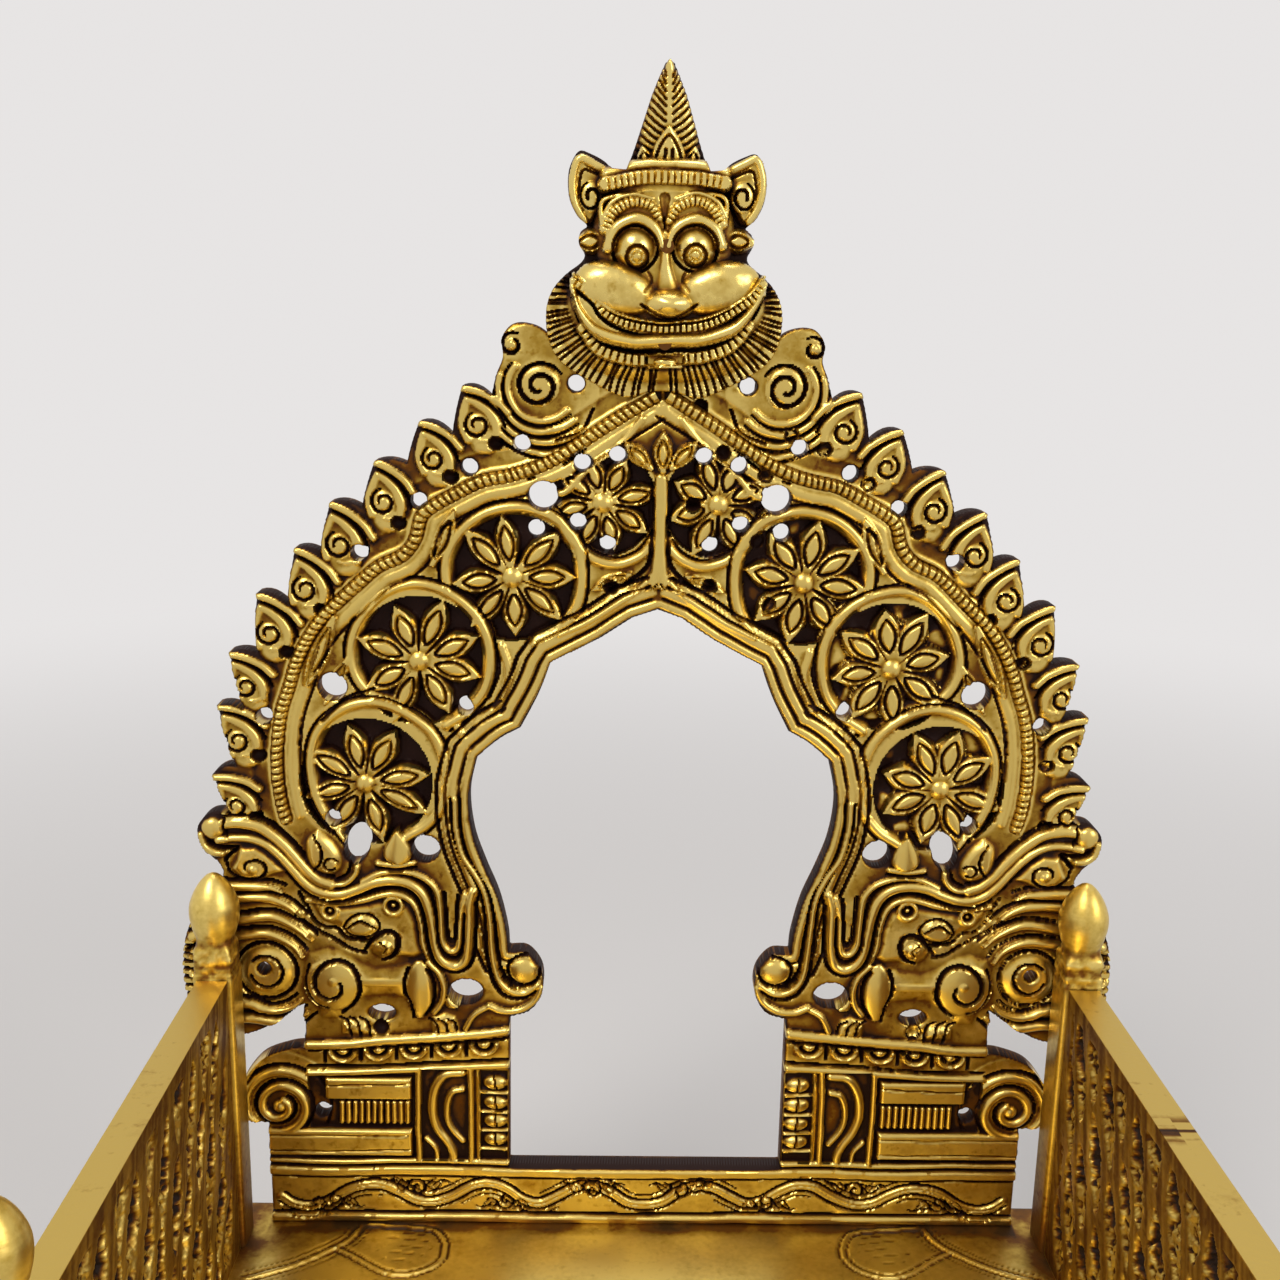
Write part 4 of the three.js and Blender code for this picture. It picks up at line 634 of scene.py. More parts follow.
def make_rope(name, side):
    """A flattened rope: bars with narrow notches between them, a little uneven as cut by hand."""
    axis, at = rope_line(side)
    gen = np.random.default_rng(50 + side)
    cuts = np.cumsum(gen.uniform(*NOTCH_PITCH, NOTCHES))
    slant = gen.uniform(-NOTCH_SLANT, NOTCH_SLANT, NOTCHES)
    across = np.linspace(-1, 1, ROPE_ACROSS)
    way = np.gradient(axis, axis=0)
    normal = np.column_stack([-way[:, 1], way[:, 0]]) / np.hypot(way[:, 0], way[:, 1])[:, None]
    place = at[:, None] + across[None, :] * 0.2
    nearest = np.searchsorted(cuts, place).clip(1, NOTCHES - 1)
    gap = np.minimum(np.abs(place - cuts[nearest] - slant[nearest] * across),
                     np.abs(place - cuts[nearest - 1] - slant[nearest - 1] * across))
    notch = np.clip(1 - gap / NOTCH_REACH, 0, 1) ** 0.8
    height = 0.1 + 1.85 * (1 - np.abs(across) ** 3.6)[None, :] - NOTCH_DEPTH * notch
    width = ROPE_HALF + 0.05 * value_noise(axis.shape, 60, 5, 1)[:, :1]
    front = np.dstack([axis[:, None, 0] + normal[:, None, 0] * across * width, PLATE_FACE - height,
                       axis[:, None, 1] + normal[:, None, 1] * across * width + SEAT_TOP])
    back = front.copy()
    back[:, :, 1] = PLATE_FACE + 0.5
    shade = np.clip(notch * 0.62 - 0.36 + 0.7 * np.abs(across) ** 6, -0.4, 1).ravel()
    # Front, back and the four narrow sides
    index = np.arange(len(at) * ROPE_ACROSS).reshape(len(at), ROPE_ACROSS)
    under = index + index.size
    corners = [index[:-1, :-1], index[1:, :-1], index[1:, 1:], index[:-1, 1:]]
    quads = np.column_stack([k.ravel() for k in corners])
    faces = [quads, quads[:, [0, 3, 2, 1]] + index.size]
    for line, low in ((index[:, 0], under[:, 0]), (index[::-1, -1], under[::-1, -1]),
                      (index[0, ::-1], under[0, ::-1]), (index[-1], under[-1])):
        faces.append(np.column_stack([line[:-1], low[:-1], low[1:], line[1:]]))
    faces = [f if side > 0 else f[:, ::-1] for f in faces]
    verts = np.vstack([front.reshape(-1, 3), back.reshape(-1, 3)]) * MM
    return new_mesh(name, verts, faces, np.concatenate([shade, shade]))


def draw_rope(half):
    """The smooth band inside the rope and the dark lines that set it off."""
    rope = rope_line(1)[0][::8]
    half.line(offset(rope, -2.9), 2.3, 0.7, base=0.35)
    half.cut_line(offset(rope, -4.4), 0.5, 0.6)
    half.cut_line(rope, 2.51, 0.8, profile=flat_top)


def draw_shoulder(half):
    """The scroll beside the mask, with the feathers that fan out of it."""
    centre = (22.2, 170.6)
    half.area(ring(centre, 11.5), 0.95, soft=0.8)
    half.dome(centre, 3.7, 3.7, 0.9, base=1.0)
    half.cut_line(spiral(centre, 4.4, 0.9, 150, -1.7, 60), 0.8, 1.5, taper=(0.4, 1, 1, 0.8))
    for radius, end, start, sweep in ((6.2, 7.6, 40, -0.5), (7.9, 9.8, 14, -0.42), (9.6, 12.0, -8, -0.36),
                                      (11.3, 14.2, -34, -0.26)):
        half.line(spiral(centre, radius - 0.85, end - 0.95, start, sweep, 50), 1.2, 0.6, base=0.95)
        half.cut_line(spiral(centre, radius, end, start, sweep, 50), 0.55, 1.0, taper=(0.4, 1, 1, 0.3))
    half.cut_line(spiral((27.0, 177.6), 2.2, 0.7, 120, -1.1, 30), 0.6, 1.2, taper=(0.4, 1, 1, 0.8))
    half.dome((27.0, 177.6), 0.9, 0.9, 0.7, base=1.0)
    half.cut([(30.6, 180.0), (29.4, 176.6), (30.4, 173.6)], 0.6, 1.1, taper=(0.4, 1, 0.4))
    half.cut([(34.5, 166.0), (31.5, 161.5), (27.0, 159.4)], 0.6, 1.0)
    half.cut([(12.5, 166.5), (14.5, 162.6), (19.0, 160.8)], 0.55, 1.0)
    half.pit((33.2, 163.0), 1.0, 1.0)


def draw_rosette(half, name):
    """Eight petals round a stud, in a sunk ring."""
    u, v, reach = ROSETTES[name]
    turn = ROSETTE_TURNS[half.side][name]
    gen = np.random.default_rng(int(u * 10) + half.side)
    centre = np.array([u * half.side, v])
    floor = -1.7
    half.area(ring((u, v), reach + 0.2), floor, mode="min")
    for k in range(8):
        angle = math.radians(turn + k * 45 + gen.uniform(-5, 5))
        way = np.array([math.cos(angle), math.sin(angle)])
        side = np.array([-way[1], way[0]])
        tip = centre + way * reach * gen.uniform(0.93, 1.08) + side * gen.uniform(-0.6, 0.6)
        fullness = gen.uniform(0.43, 0.48)
        if half.side > 0:
            fullness += 0.05
        if name == "top":
            fullness += 0.04
        half.field.petal(centre + way * 1.5, tip, reach * fullness, 2.75, floor)
    half.ring((u, v), 2.3, 0.8, 0.9, base=-0.4)
    half.dome((u, v), 2.15, 2.15, 1.9, base=0.0)


HOOPS = {
    "lower": [(60.5, 85.0), (63.6, 89.0), (65.4, 95.0), (65.2, 101.0), (62.8, 106.2), (58.2, 109.8),
              (52.5, 110.8), (46.5, 108.4), (41.8, 104.0), (39.8, 97.5), (40.5, 91.0), (43.5, 86.4),
              (47.5, 83.6)],
    "middle": [(48.8, 110.6), (53.8, 112.6), (56.8, 116.5), (57.3, 121.5), (55.3, 127.0), (51.0, 131.6),
               (45.8, 133.6), (40.2, 132.8), (35.4, 129.8), (32.2, 125.2), (31.2, 119.5), (32.3, 113.6),
               (35.8, 109.0), (39.6, 106.4)],
    "upper": [(39.2, 133.0), (39.3, 138.4), (36.5, 143.6), (31.5, 147.2), (25.6, 148.2), (19.4, 146.2),
              (15.4, 141.8), (14.2, 136.0), (15.0, 130.0), (18.0, 125.2), (23.0, 122.6)],
    "top": [(21.5, 149.0), (18.6, 146.2), (16.0, 142.0), (12.4, 138.8), (7.6, 137.8), (3.2, 139.8),
            (0.4, 143.6)],
}


def draw_hoops(half):
    """The vine that loops round the rosettes, with its leaves in the corners."""
    for name in ("top", "upper", "middle", "lower"):
        line = smooth(HOOPS[name])
        half.line(line, 3.4, 1.0, base=-0.5, profile=flat_top)
        half.line(line, 2.1, 1.35, base=0.1)
        half.cut_line(offset(line, -1.25), FINE, 0.9)
    half.curve([(37.5, 106.0), (35.6, 101.5), (36.4, 96.0), (38.8, 91.5), (39.2, 86.0)], 1.9, 1.1, base=0.3)
    half.curve([(29.0, 122.0), (27.8, 116.5), (30.0, 110.5), (34.0, 106.5)], 1.8, 1.1, base=0.3)
    half.cut([(30.4, 123.5), (29.6, 117.5), (31.4, 112.0)], THIN, 0.9)
    half.petal((60.0, 127.5), (66.4, 112.4), 4.4, 1.6, 0.1)
    half.cut([(63.2, 121.5), (65.2, 116.0), (66.8, 109.0), (67.6, 102.0)], 0.76, 1.2, taper=(0.5, 1, 0.4))
    half.petal((42.0, 137.0), (37.6, 147.6), 4.0, 1.5, 0.1)
    half.curve([(22.5, 151.5), (17.5, 151.0), (13.0, 156.0), (7.0, 160.5), (3.5, 164.8)], 1.5, 0.9,
               base=0.5)
    half.cut([(24.0, 153.4), (18.5, 154.8), (12.0, 159.4)], LINE, 1.0)
    half.cut([(53.0, 113.6), (58.5, 111.4), (63.0, 107.0)], LINE, 1.0)
    half.petal((57.8, 119.5), (62.5, 110.0), 3.2, 1.3, 0.2)


def draw_crown(half):
    """The stem over the keyhole: a trefoil at its head, and folds that fan out under it."""
    half.petal((1.6, 155.6), (6.6, 160.8), 3.8, 1.9, 0.2)
    half.curve([(0.2, 154.0), (0.3, 149.5), (0.1, 145.0), (0.3, 140.0), (0.9, 134.0)], 2.0, 1.1, base=0.9)
    half.cut([(1.6, 153.0), (1.7, 148.0), (1.5, 143.0), (2.1, 138.0), (5.4, 134.6), (10.0, 131.0),
              (15.5, 127.6)], 0.8, 1.1, taper=(0.6, 1, 1, 0.6))
    half.curve([(1.2, 136.0), (3.6, 133.2), (7.6, 130.4), (13.0, 127.0), (18.5, 124.6)], 1.5, 0.8, base=0.9)
    half.cut([(0.3, 134.5), (2.6, 131.6), (6.0, 129.0), (12.0, 125.6)], THIN, 1.0, taper=(0.5, 1, 0.5))
    half.petal((5.0, 136.2), (12.5, 133.0), 3.0, 1.4, 0.2)


def draw_border(half):
    """Grooved moulding round the keyhole and the bulb that ends it."""
    edge = opening_half()[:-13]
    half.line(offset(edge, 3.0), 6.4, 0.9, base=0.1, profile=flat_top)
    half.line(offset(edge, 1.0), 1.7, 0.5, base=0.95)
    half.line(offset(edge, 3.4), 1.9, 0.45, base=1.0)
    for distance, width, depth in ((2.2, 0.45, 0.45), (4.7, 0.55, 0.65), (6.4, 0.65, 1.0)):
        half.cut_line(offset(edge, distance), width, depth)
    half.cut([(37.4, 92.0), (37.2, 86.0), (36.0, 80.4), (33.6, 76.2), (31.7, 72.4), (30.8, 67.4),
              (30.1, 61.0), (29.4, 56.6), (28.0, 54.0), (25.8, 53.0), (23.4, 54.2)], BOLD, 1.3)
    half.cut([(39.0, 92.0), (38.6, 86.4), (37.2, 81.0), (35.0, 77.0), (33.4, 73.4), (32.6, 69.0),
              (32.2, 63.0), (31.9, 57.6), (30.9, 53.6), (28.6, 50.8), (25.4, 50.2), (22.6, 52.2)], BOLD,
             1.3)
    half.curve([(38.2, 92.0), (37.9, 86.2), (36.7, 80.7), (34.3, 76.6), (32.6, 73.0), (31.7, 68.2),
                (31.2, 62.0), (30.7, 57.2), (29.6, 53.9), (27.2, 51.9), (24.6, 51.7), (22.4, 53.4)], 1.2,
               0.7, base=1.2)
    half.curve([(31.5, 48.6), (29.0, 47.6), (25.5, 47.9), (22.8, 49.8), (21.4, 52.8)], 1.5, 0.9, base=0.9)
    half.dome((25.0, 56.4), 2.9, 2.7, 1.5, base=0.8)
    half.cut_line(spiral((25.0, 56.4), 3.2, 3.1, 100, -0.8, 30), THIN, 1.4)


SNOUT_TOP = [(82.4, 86.4), (79.6, 86.6), (76.0, 85.9), (73.4, 84.2), (70.8, 81.8), (68.6, 79.2),
             (66.6, 76.7), (64.4, 74.8), (62.2, 74.0)]
TRUNK = [(83.6, 83.0), (80.4, 83.6), (77.4, 83.5), (74.6, 82.4), (72.0, 80.2), (69.8, 77.7), (67.6, 75.0),
         (65.4, 73.0), (62.8, 72.1), (60.0, 72.1), (57.0, 73.1), (54.0, 74.4), (50.6, 74.9), (47.2, 74.3),
         (44.7, 72.3), (43.4, 69.0), (42.7, 65.0), (42.0, 60.6), (40.7, 58.2), (38.5, 57.0), (36.6, 58.0),
         (35.9, 60.7), (35.7, 65.0), (35.6, 70.0), (34.9, 73.0)]
HEAD_AREA = [(66.6, 71.2), (60.0, 70.0), (54.6, 70.8), (50.0, 72.0), (46.6, 70.0), (45.0, 66.4),
             (44.5, 62.2), (43.6, 59.3), (46.4, 58.0), (49.5, 58.4), (52.6, 57.5), (55.0, 59.2),
             (56.4, 62.2), (59.6, 62.8), (61.8, 65.0), (64.4, 66.4), (66.0, 68.8)]
BODY_AREA = [(67.6, 60.0), (63.5, 61.6), (60.4, 60.9), (56.8, 58.4), (53.8, 57.2), (50.6, 57.7),
             (47.4, 58.6), (44.0, 58.4), (41.2, 55.2), (40.4, 51.7), (41.4, 48.9), (43.4, 46.2),
             (46.4, 44.9), (47.6, 47.6), (49.0, 49.4), (52.0, 49.8), (56.0, 49.5), (59.2, 47.1),
             (61.4, 44.6), (65.6, 44.6), (66.4, 48.2), (68.6, 50.8), (69.2, 54.4), (68.6, 57.8)]


def draw_makara(half):
    """The makara's head, its curled snout and the long trunk that runs down beside the keyhole."""
    half.curve(SNOUT_TOP, 2.3, 1.1, base=0.9)
    half.curve(TRUNK, 2.1, 1.2, base=0.9, taper=(0.8, 1, 1, 1, 0.9))
    half.cut(offset(smooth(SNOUT_TOP, 2), -1.7), 0.72, 1.4, taper=(0.4, 1, 1, 0.8))
    half.cut(offset(smooth(TRUNK[3:], 2), 1.45), 0.65, 1.3, taper=(0.4, 1, 1, 1, 0.8))
    half.curve([(56.0, 74.7), (52.2, 76.4), (47.6, 76.6), (43.8, 75.2), (41.6, 72.4), (41.1, 67.4),
                (40.9, 63.2), (40.1, 61.0), (38.8, 60.3), (37.7, 61.3), (37.4, 65.0), (37.2, 69.0),
                (36.3, 72.4)], 1.3, 1.0, base=0.8)
    half.cut([(46.8, 75.8), (43.8, 73.8), (42.5, 70.3), (41.9, 65.7), (41.5, 61.9), (40.4, 59.4),
              (38.7, 58.7), (37.0, 59.8), (36.6, 63.3), (36.5, 68.3)], 0.57, 1.3)
    half.cut([(40.4, 72.4), (40.1, 66.6), (39.7, 63.2), (38.8, 62.2), (38.2, 63.2), (38.0, 67.0),
              (37.7, 72.0)], 0.8, 1.2)
    # Snout, mouth and curled under-jaw
    half.dome((84.6, 85.4), 2.3, 2.3, 1.4, base=0.9)
    half.cut([(82.2, 87.6), (82.5, 85.4), (81.8, 83.9)], THIN, 1.0)
    half.curve([(87.0, 84.0), (86.4, 81.8), (84.8, 80.5), (82.9, 80.3)], 1.5, 1.0, base=0.9)
    half.cut([(85.6, 82.4), (82.8, 81.4), (79.8, 81.6), (81.2, 80.2), (82.4, 78.8)], BOLD, 1.5)
    half.area([(79.8, 81.6), (76.4, 82.0), (73.4, 79.8), (70.4, 76.4), (73.6, 75.4), (76.0, 74.4),
               (79.6, 74.8), (81.6, 77.0)], 1.5, soft=1.2)
    half.cut([(82.2, 79.2), (81.7, 76.7), (80.0, 75.2), (77.8, 74.8), (75.8, 75.3), (74.6, 76.6),
              (74.9, 78.2), (76.4, 79.0), (78.2, 78.4), (78.6, 77.0)], LINE, 1.2, taper=(0.6, 1, 1, 0.6))
    half.dome((77.0, 77.0), 1.1, 1.0, 1.0, base=1.0)
    # Crest over the brow
    half.area(smooth([(64.5, 85.6), (66.9, 83.4), (67.2, 80.4), (66.4, 77.6), (64.2, 76.0), (61.6, 75.9),
                      (59.8, 77.6), (59.9, 80.6), (61.9, 83.6), (64.5, 85.6)])[:-1], 2.0, soft=1.6)
    half.cut([(65.3, 84.0), (63.9, 81.8), (63.8, 79.2), (65.2, 77.0)], LINE, 1.3, taper=(0.4, 1, 0.5))
    half.cut_line(spiral((62.0, 78.3), 1.4, 1.0, 150, -0.8, 20), FINE, 1.1)
    half.curve([(60.4, 84.8), (58.2, 81.4), (57.1, 78.5), (57.3, 76.2), (59.6, 74.2), (63.0, 74.3),
                (66.0, 75.4)], 1.2, 1.0, base=0.8)
    half.cut([(61.4, 85.0), (59.0, 81.4), (58.3, 78.4), (58.9, 76.2), (61.0, 75.0)], THIN, 1.2)
    half.leaf((49.2, 78.4), (49.2, 85.6), 5.6, 1.9, base=0.3, fullness=0.26, veined=False)
    half.curve([(53.0, 78.3), (49.5, 77.9), (46.2, 78.5)], 1.2, 0.9, base=0.8)
    half.cut([(53.4, 77.4), (49.5, 77.0), (45.8, 77.5)], FINE, 1.0)


TAIL_COILS = [
    [(88.0, 68.5), (82.5, 70.4), (78.5, 70.8), (75.8, 70.9), (73.2, 70.6), (70.2, 69.2), (68.0, 66.8)],
    [(89.5, 62.5), (84.5, 65.2), (78.5, 66.4), (74.2, 67.0), (71.4, 66.2), (68.4, 64.4), (66.2, 62.4)],
    [(90.0, 58.5), (84.0, 62.0), (78.3, 63.0), (75.0, 63.3), (72.2, 62.5), (69.6, 60.9), (68.2, 58.6)],
    [(90.0, 54.0), (85.0, 49.5), (78.8, 48.3), (76.8, 47.4), (74.2, 46.9), (71.0, 47.7), (68.8, 49.4)],
    [(88.0, 47.6), (84.0, 45.6), (78.5, 45.2), (73.1, 44.5), (69.9, 45.6), (67.4, 46.8)],
    [(87.0, 75.0), (82.5, 73.4), (78.0, 73.2), (74.0, 73.2), (71.5, 72.4)],
]


def draw_scroll_tail(half):
    """Coils of the tail, partly behind the post."""
    for points in TAIL_COILS:
        half.curve(points, 1.9, 1.1, base=0.7, taper=(1, 1, 1, 0.35))
        half.cut(offset(smooth(points, 2), -1.5), 0.65, 1.4)
    for k in range(11):
        v = 43.5 + k * 1.7
        half.cut_line([(89.4 - 0.05 * abs(k - 6), v), (93.0, v + 0.3)], 0.75, 1.3)
    half.area(ring((75.4, 55.4), 5.6), 1.5, soft=2.0)
    half.cut_line(spiral((75.4, 55.4), 6.1, 5.8, 0, 1.0, 40), 0.76, 1.6)
    half.cut_line(spiral((75.4, 55.4), 3.4, 3.0, 40, 0.85, 30), LINE, 1.2)


def draw_elephant(half):
    """The elephant that stands on the pillar's capital."""
    half.area(BODY_AREA, 1.7, soft=4.2)
    half.area(HEAD_AREA, 1.45, soft=1.8)
    half.curve([(66.6, 71.0), (63.2, 70.6), (60.0, 70.4), (56.2, 70.9), (52.6, 72.0), (50.0, 72.3),
                (47.6, 71.5), (46.0, 69.6), (45.0, 66.0), (44.6, 62.0), (43.6, 59.2)], 1.3, 0.8, base=1.3)
    half.cut([(68.4, 72.2), (67.0, 69.6), (66.0, 67.1), (64.2, 65.3), (61.4, 64.8), (59.7, 62.9),
              (56.8, 62.3), (55.0, 62.6)], BOLD, 1.6)
    half.cut([(69.4, 67.9), (66.5, 65.3), (64.2, 63.9), (61.9, 62.6), (58.8, 60.4), (56.0, 59.6)], BOLD,
             1.6)
    for eye, radius in (((50.4, 69.8), 1.25), ((62.5, 68.6), 1.0)):
        half.ring(eye, radius + 0.45, 0.9, 0.7, base=1.2)
        half.pit(eye, radius, 1.5)
        half.dome(eye, 0.6, 0.6, 0.8, base=0.5)
    lens = [(60.0, 65.1), (58.8, 67.0), (56.5, 68.2), (54.2, 67.5), (53.0, 65.6), (54.2, 63.8),
            (56.6, 63.0), (58.9, 63.5), (60.0, 65.1)]
    half.area(smooth(lens)[:-1], 1.9, soft=1.0)
    half.cut(lens, FINE, 1.0)
    half.cut([(59.2, 64.9), (56.8, 66.6), (54.0, 65.2)], 0.65, 1.2, taper=(0.6, 1, 0.6))
    half.cut([(56.2, 60.2), (54.2, 63.0), (51.9, 64.5), (50.1, 63.9), (49.5, 61.8), (50.6, 59.4),
              (52.6, 58.4)], 1.1, 1.5, taper=(0.5, 1, 1, 0.6))
    half.dome((52.0, 61.2), 1.6, 1.7, 1.4, base=0.9)
    half.cut([(53.2, 62.2), (51.8, 61.4), (52.4, 60.0)], FINE, 0.9)
    # Haunch and legs
    half.dome((62.6, 53.0), 5.6, 5.6, 1.15, base=1.15)
    half.cut([(60.9, 53.6), (60.6, 52.1), (61.5, 50.7), (63.2, 50.1), (65.0, 51.0), (65.9, 53.1),
              (65.4, 55.7), (63.5, 57.6), (60.9, 58.0), (58.6, 56.7), (57.4, 54.0), (57.4, 51.4),
              (58.6, 49.0), (60.8, 46.9)], 0.95, 1.5, taper=(0.6, 1, 1, 1, 0.7))
    half.cut([(66.9, 57.2), (67.7, 53.9), (67.1, 50.8), (65.6, 48.7), (63.5, 48.0)], THIN, 1.0)
    half.dome((62.4, 53.9), 1.1, 1.1, 0.9, base=1.7)
    half.dome((45.4, 52.2), 2.6, 6.2, 1.0, base=1.25)
    half.cut([(47.7, 56.8), (48.5, 54.2), (48.4, 51.6), (47.2, 49.4), (46.6, 46.0)], BOLD, 1.6)
    half.cut([(44.0, 56.6), (42.7, 54.2), (42.4, 51.6), (43.0, 49.0), (44.5, 46.6)], LINE, 1.3)
    half.curve([(43.6, 58.0), (41.5, 55.7), (40.5, 52.7), (41.0, 49.6), (42.6, 47.4)], 1.3, 0.8, base=1.2)
    for foot, toes in (((61.4, 44.6), 3), ((43.6, 46.4), 3)):
        half.area([foot, (foot[0] - 3.2, foot[1] + 1.2), (foot[0] - 5.6, foot[1] + 0.2),
                   (foot[0] - 7.4, 41.6), (foot[0], 41.6)], 1.6, soft=1.6)
        for k in range(toes):
            at = foot[0] - 1.4 - k * 1.9
            half.cut([(at + 1.4, 45.8), (at, 45.0), (at - 0.5, 43.2), (at - 0.6, 41.6)], FINE, 1.0)
    half.leaf((37.6, 48.4), (39.4, 51.6), 4.4, 1.4, base=0.6, fullness=0.4, veined=False)
    half.curve([(31.4, 48.6), (34.4, 46.6), (36.2, 43.6)], 1.2, 0.9, base=0.8)
    half.cut([(66.0, 46.6), (68.4, 44.4), (68.8, 41.8)], LINE, 1.2)
    half.pit((53.4, 43.6), 1.6, 2.0)


def draw_pillar(half):
    """Courses of the pillar under the elephant, from the capital down."""
    half.curve([(68.0, 39.7), (60.0, 40.0), (53.6, 40.9), (41.4, 41.8), (32.0, 42.6), (26.0, 43.4)], 2.0,
               1.1, base=0.9)
    half.cut([(68.0, 38.4), (53.4, 39.2), (41.4, 40.1), (27.0, 41.2)], LINE, 1.4)
    for k in range(5):
        at = np.array([61.2 - k * 7.15, 38.4 + k * 0.42])
        half.line((spiral((0, 0), 2.5, 2.5, 180, 0.5, 20) * (1, 0.85)) + at, 0.9, 0.9, base=0.8)
        half.cut_line((spiral((0, 0), 1.6, 1.6, 180, 0.5, 16) * (1, 0.85)) + at, 0.5, 1.2)
        half.dome(at - (0, 0.3), 0.9, 0.7, 0.6, base=0.7)
        half.cut_line([at + (3.55, 0.0), at + (3.55, -2.6)], 0.7, 1.1)
    half.cut([(68.0, 34.9), (53.4, 35.0), (44.2, 35.7), (28.0, 36.6)], LINE, 1.5)
    half.curve([(68.0, 33.4), (58.2, 33.8), (48.2, 34.3), (34.0, 35.2), (28.0, 35.4)], 1.5, 0.9, base=0.8)
    half.block(45.6, 68.0, 12.4, 32.9, 0.15, mode="min")
    half.block(47.2, 64.8, 27.6, 32.7, 1.7, soft=0.5)
    half.cut_line([(47.4, 31.2), (64.6, 30.8)], 0.38, 0.5)
    for k in range(11):
        at = 48.0 + k * 1.36
        half.line([(at, 22.6), (at, 26.7)], 1.42, 1.6, base=-0.1)
    half.block(47.2, 76.6, 14.9, 21.2, 1.8, soft=0.5)
    half.cut_line([(47.8, 16.4), (76.4, 16.2)], 0.38, 0.45)
    half.cut_line([(47.8, 19.8), (76.4, 19.6)], 0.34, 0.4)
    half.line([(27.8, 13.6), (76.4, 13.8)], 1.3, 1.2, base=0.5)
    # Upright panel with two bent bands
    half.block(36.0, 45.4, 14.2, 34.6, 0.3, mode="min")
    half.line([(45.9, 34.6), (45.9, 13.8)], 1.3, 0.9, base=0.8)
    half.line([(35.5, 35.0), (35.5, 13.8)], 1.3, 0.9, base=0.8)
    half.curve([(37.2, 33.6), (40.6, 33.0), (42.7, 29.8), (43.2, 25.0), (42.1, 21.0), (40.2, 18.0),
                (39.2, 15.6), (39.2, 13.6)], 2.1, 1.5, base=0.1)
    half.curve([(37.2, 29.8), (39.2, 29.2), (40.2, 26.8), (40.2, 23.4), (39.2, 20.8), (37.2, 18.2)], 1.5,
               1.3, base=0.1)
    half.curve([(44.4, 18.6), (42.6, 16.4), (42.2, 13.8)], 1.2, 1.2, base=0.1)
    # Knotted column
    half.block(28.2, 34.4, 14.2, 34.0, 0.1, mode="min")
    for v in (31.4, 27.0, 22.8, 18.6):
        half.dome((30.6, v), 2.6, 1.7, 1.9, base=-0.2)
        half.line([(28.4, v - 2.2), (33.2, v - 2.1)], 0.9, 1.2, base=0.0)
        half.cut_line([(30.4, v - 1.3), (30.8, v + 1.3)], 0.38, 0.9)
    half.line([(34.0, 14.0), (34.0, 34.4)], 0.9, 1.1, base=0.3)


def draw_bracket(half):
    """The coiled bracket at the outer end of the capital."""
    centre = (74.0, 26.1)
    half.area(ring(centre, 12.6), 0.9, soft=0.8)
    half.line(spiral(centre, 10.6, 1.4, 40, -2.75, 120), 1.9, 1.0, base=0.8)
    half.cut_line(spiral(centre, 12.2, 2.6, 40, -2.75, 120), 0.75, 1.5)
    half.dome(centre, 1.5, 1.5, 1.4, base=0.6)
    half.curve([(66.5, 39.4), (70.3, 39.8), (74.4, 39.0), (78.0, 36.4), (81.2, 31.6)], 1.5, 1.0, base=0.9)


BAR_WAVE = [(74.2, 5.6), (71.6, 3.9), (68.2, 3.5), (64.6, 4.7), (60.8, 7.2), (57.0, 8.3), (53.6, 8.2),
            (50.2, 6.8), (46.8, 4.9), (43.2, 4.5), (39.2, 5.9), (35.0, 8.3), (31.4, 8.8), (28.0, 7.6),
            (24.6, 5.3), (21.2, 4.5), (17.8, 6.1), (14.0, 8.2), (10.4, 8.6), (7.0, 7.2), (3.6, 5.0),
            (0.0, 4.4)]


# Middle of each curl on the bar, and 1 where its leaves point down or -1 where they point up
BAR_CURLS = [(-63.6, 1), (-46.4, -1), (-28.2, 1), (-10.6, -1), (7.4, -1), (25.0, 1), (43.4, -1), (61.0, 1)]
# Veins of the leaves: how far they reach from the curl, and how they bend
BAR_VEINS = ((-6.6, -2.6), (-3.6, -2.2), (3.6, 2.2), (6.6, 2.6))


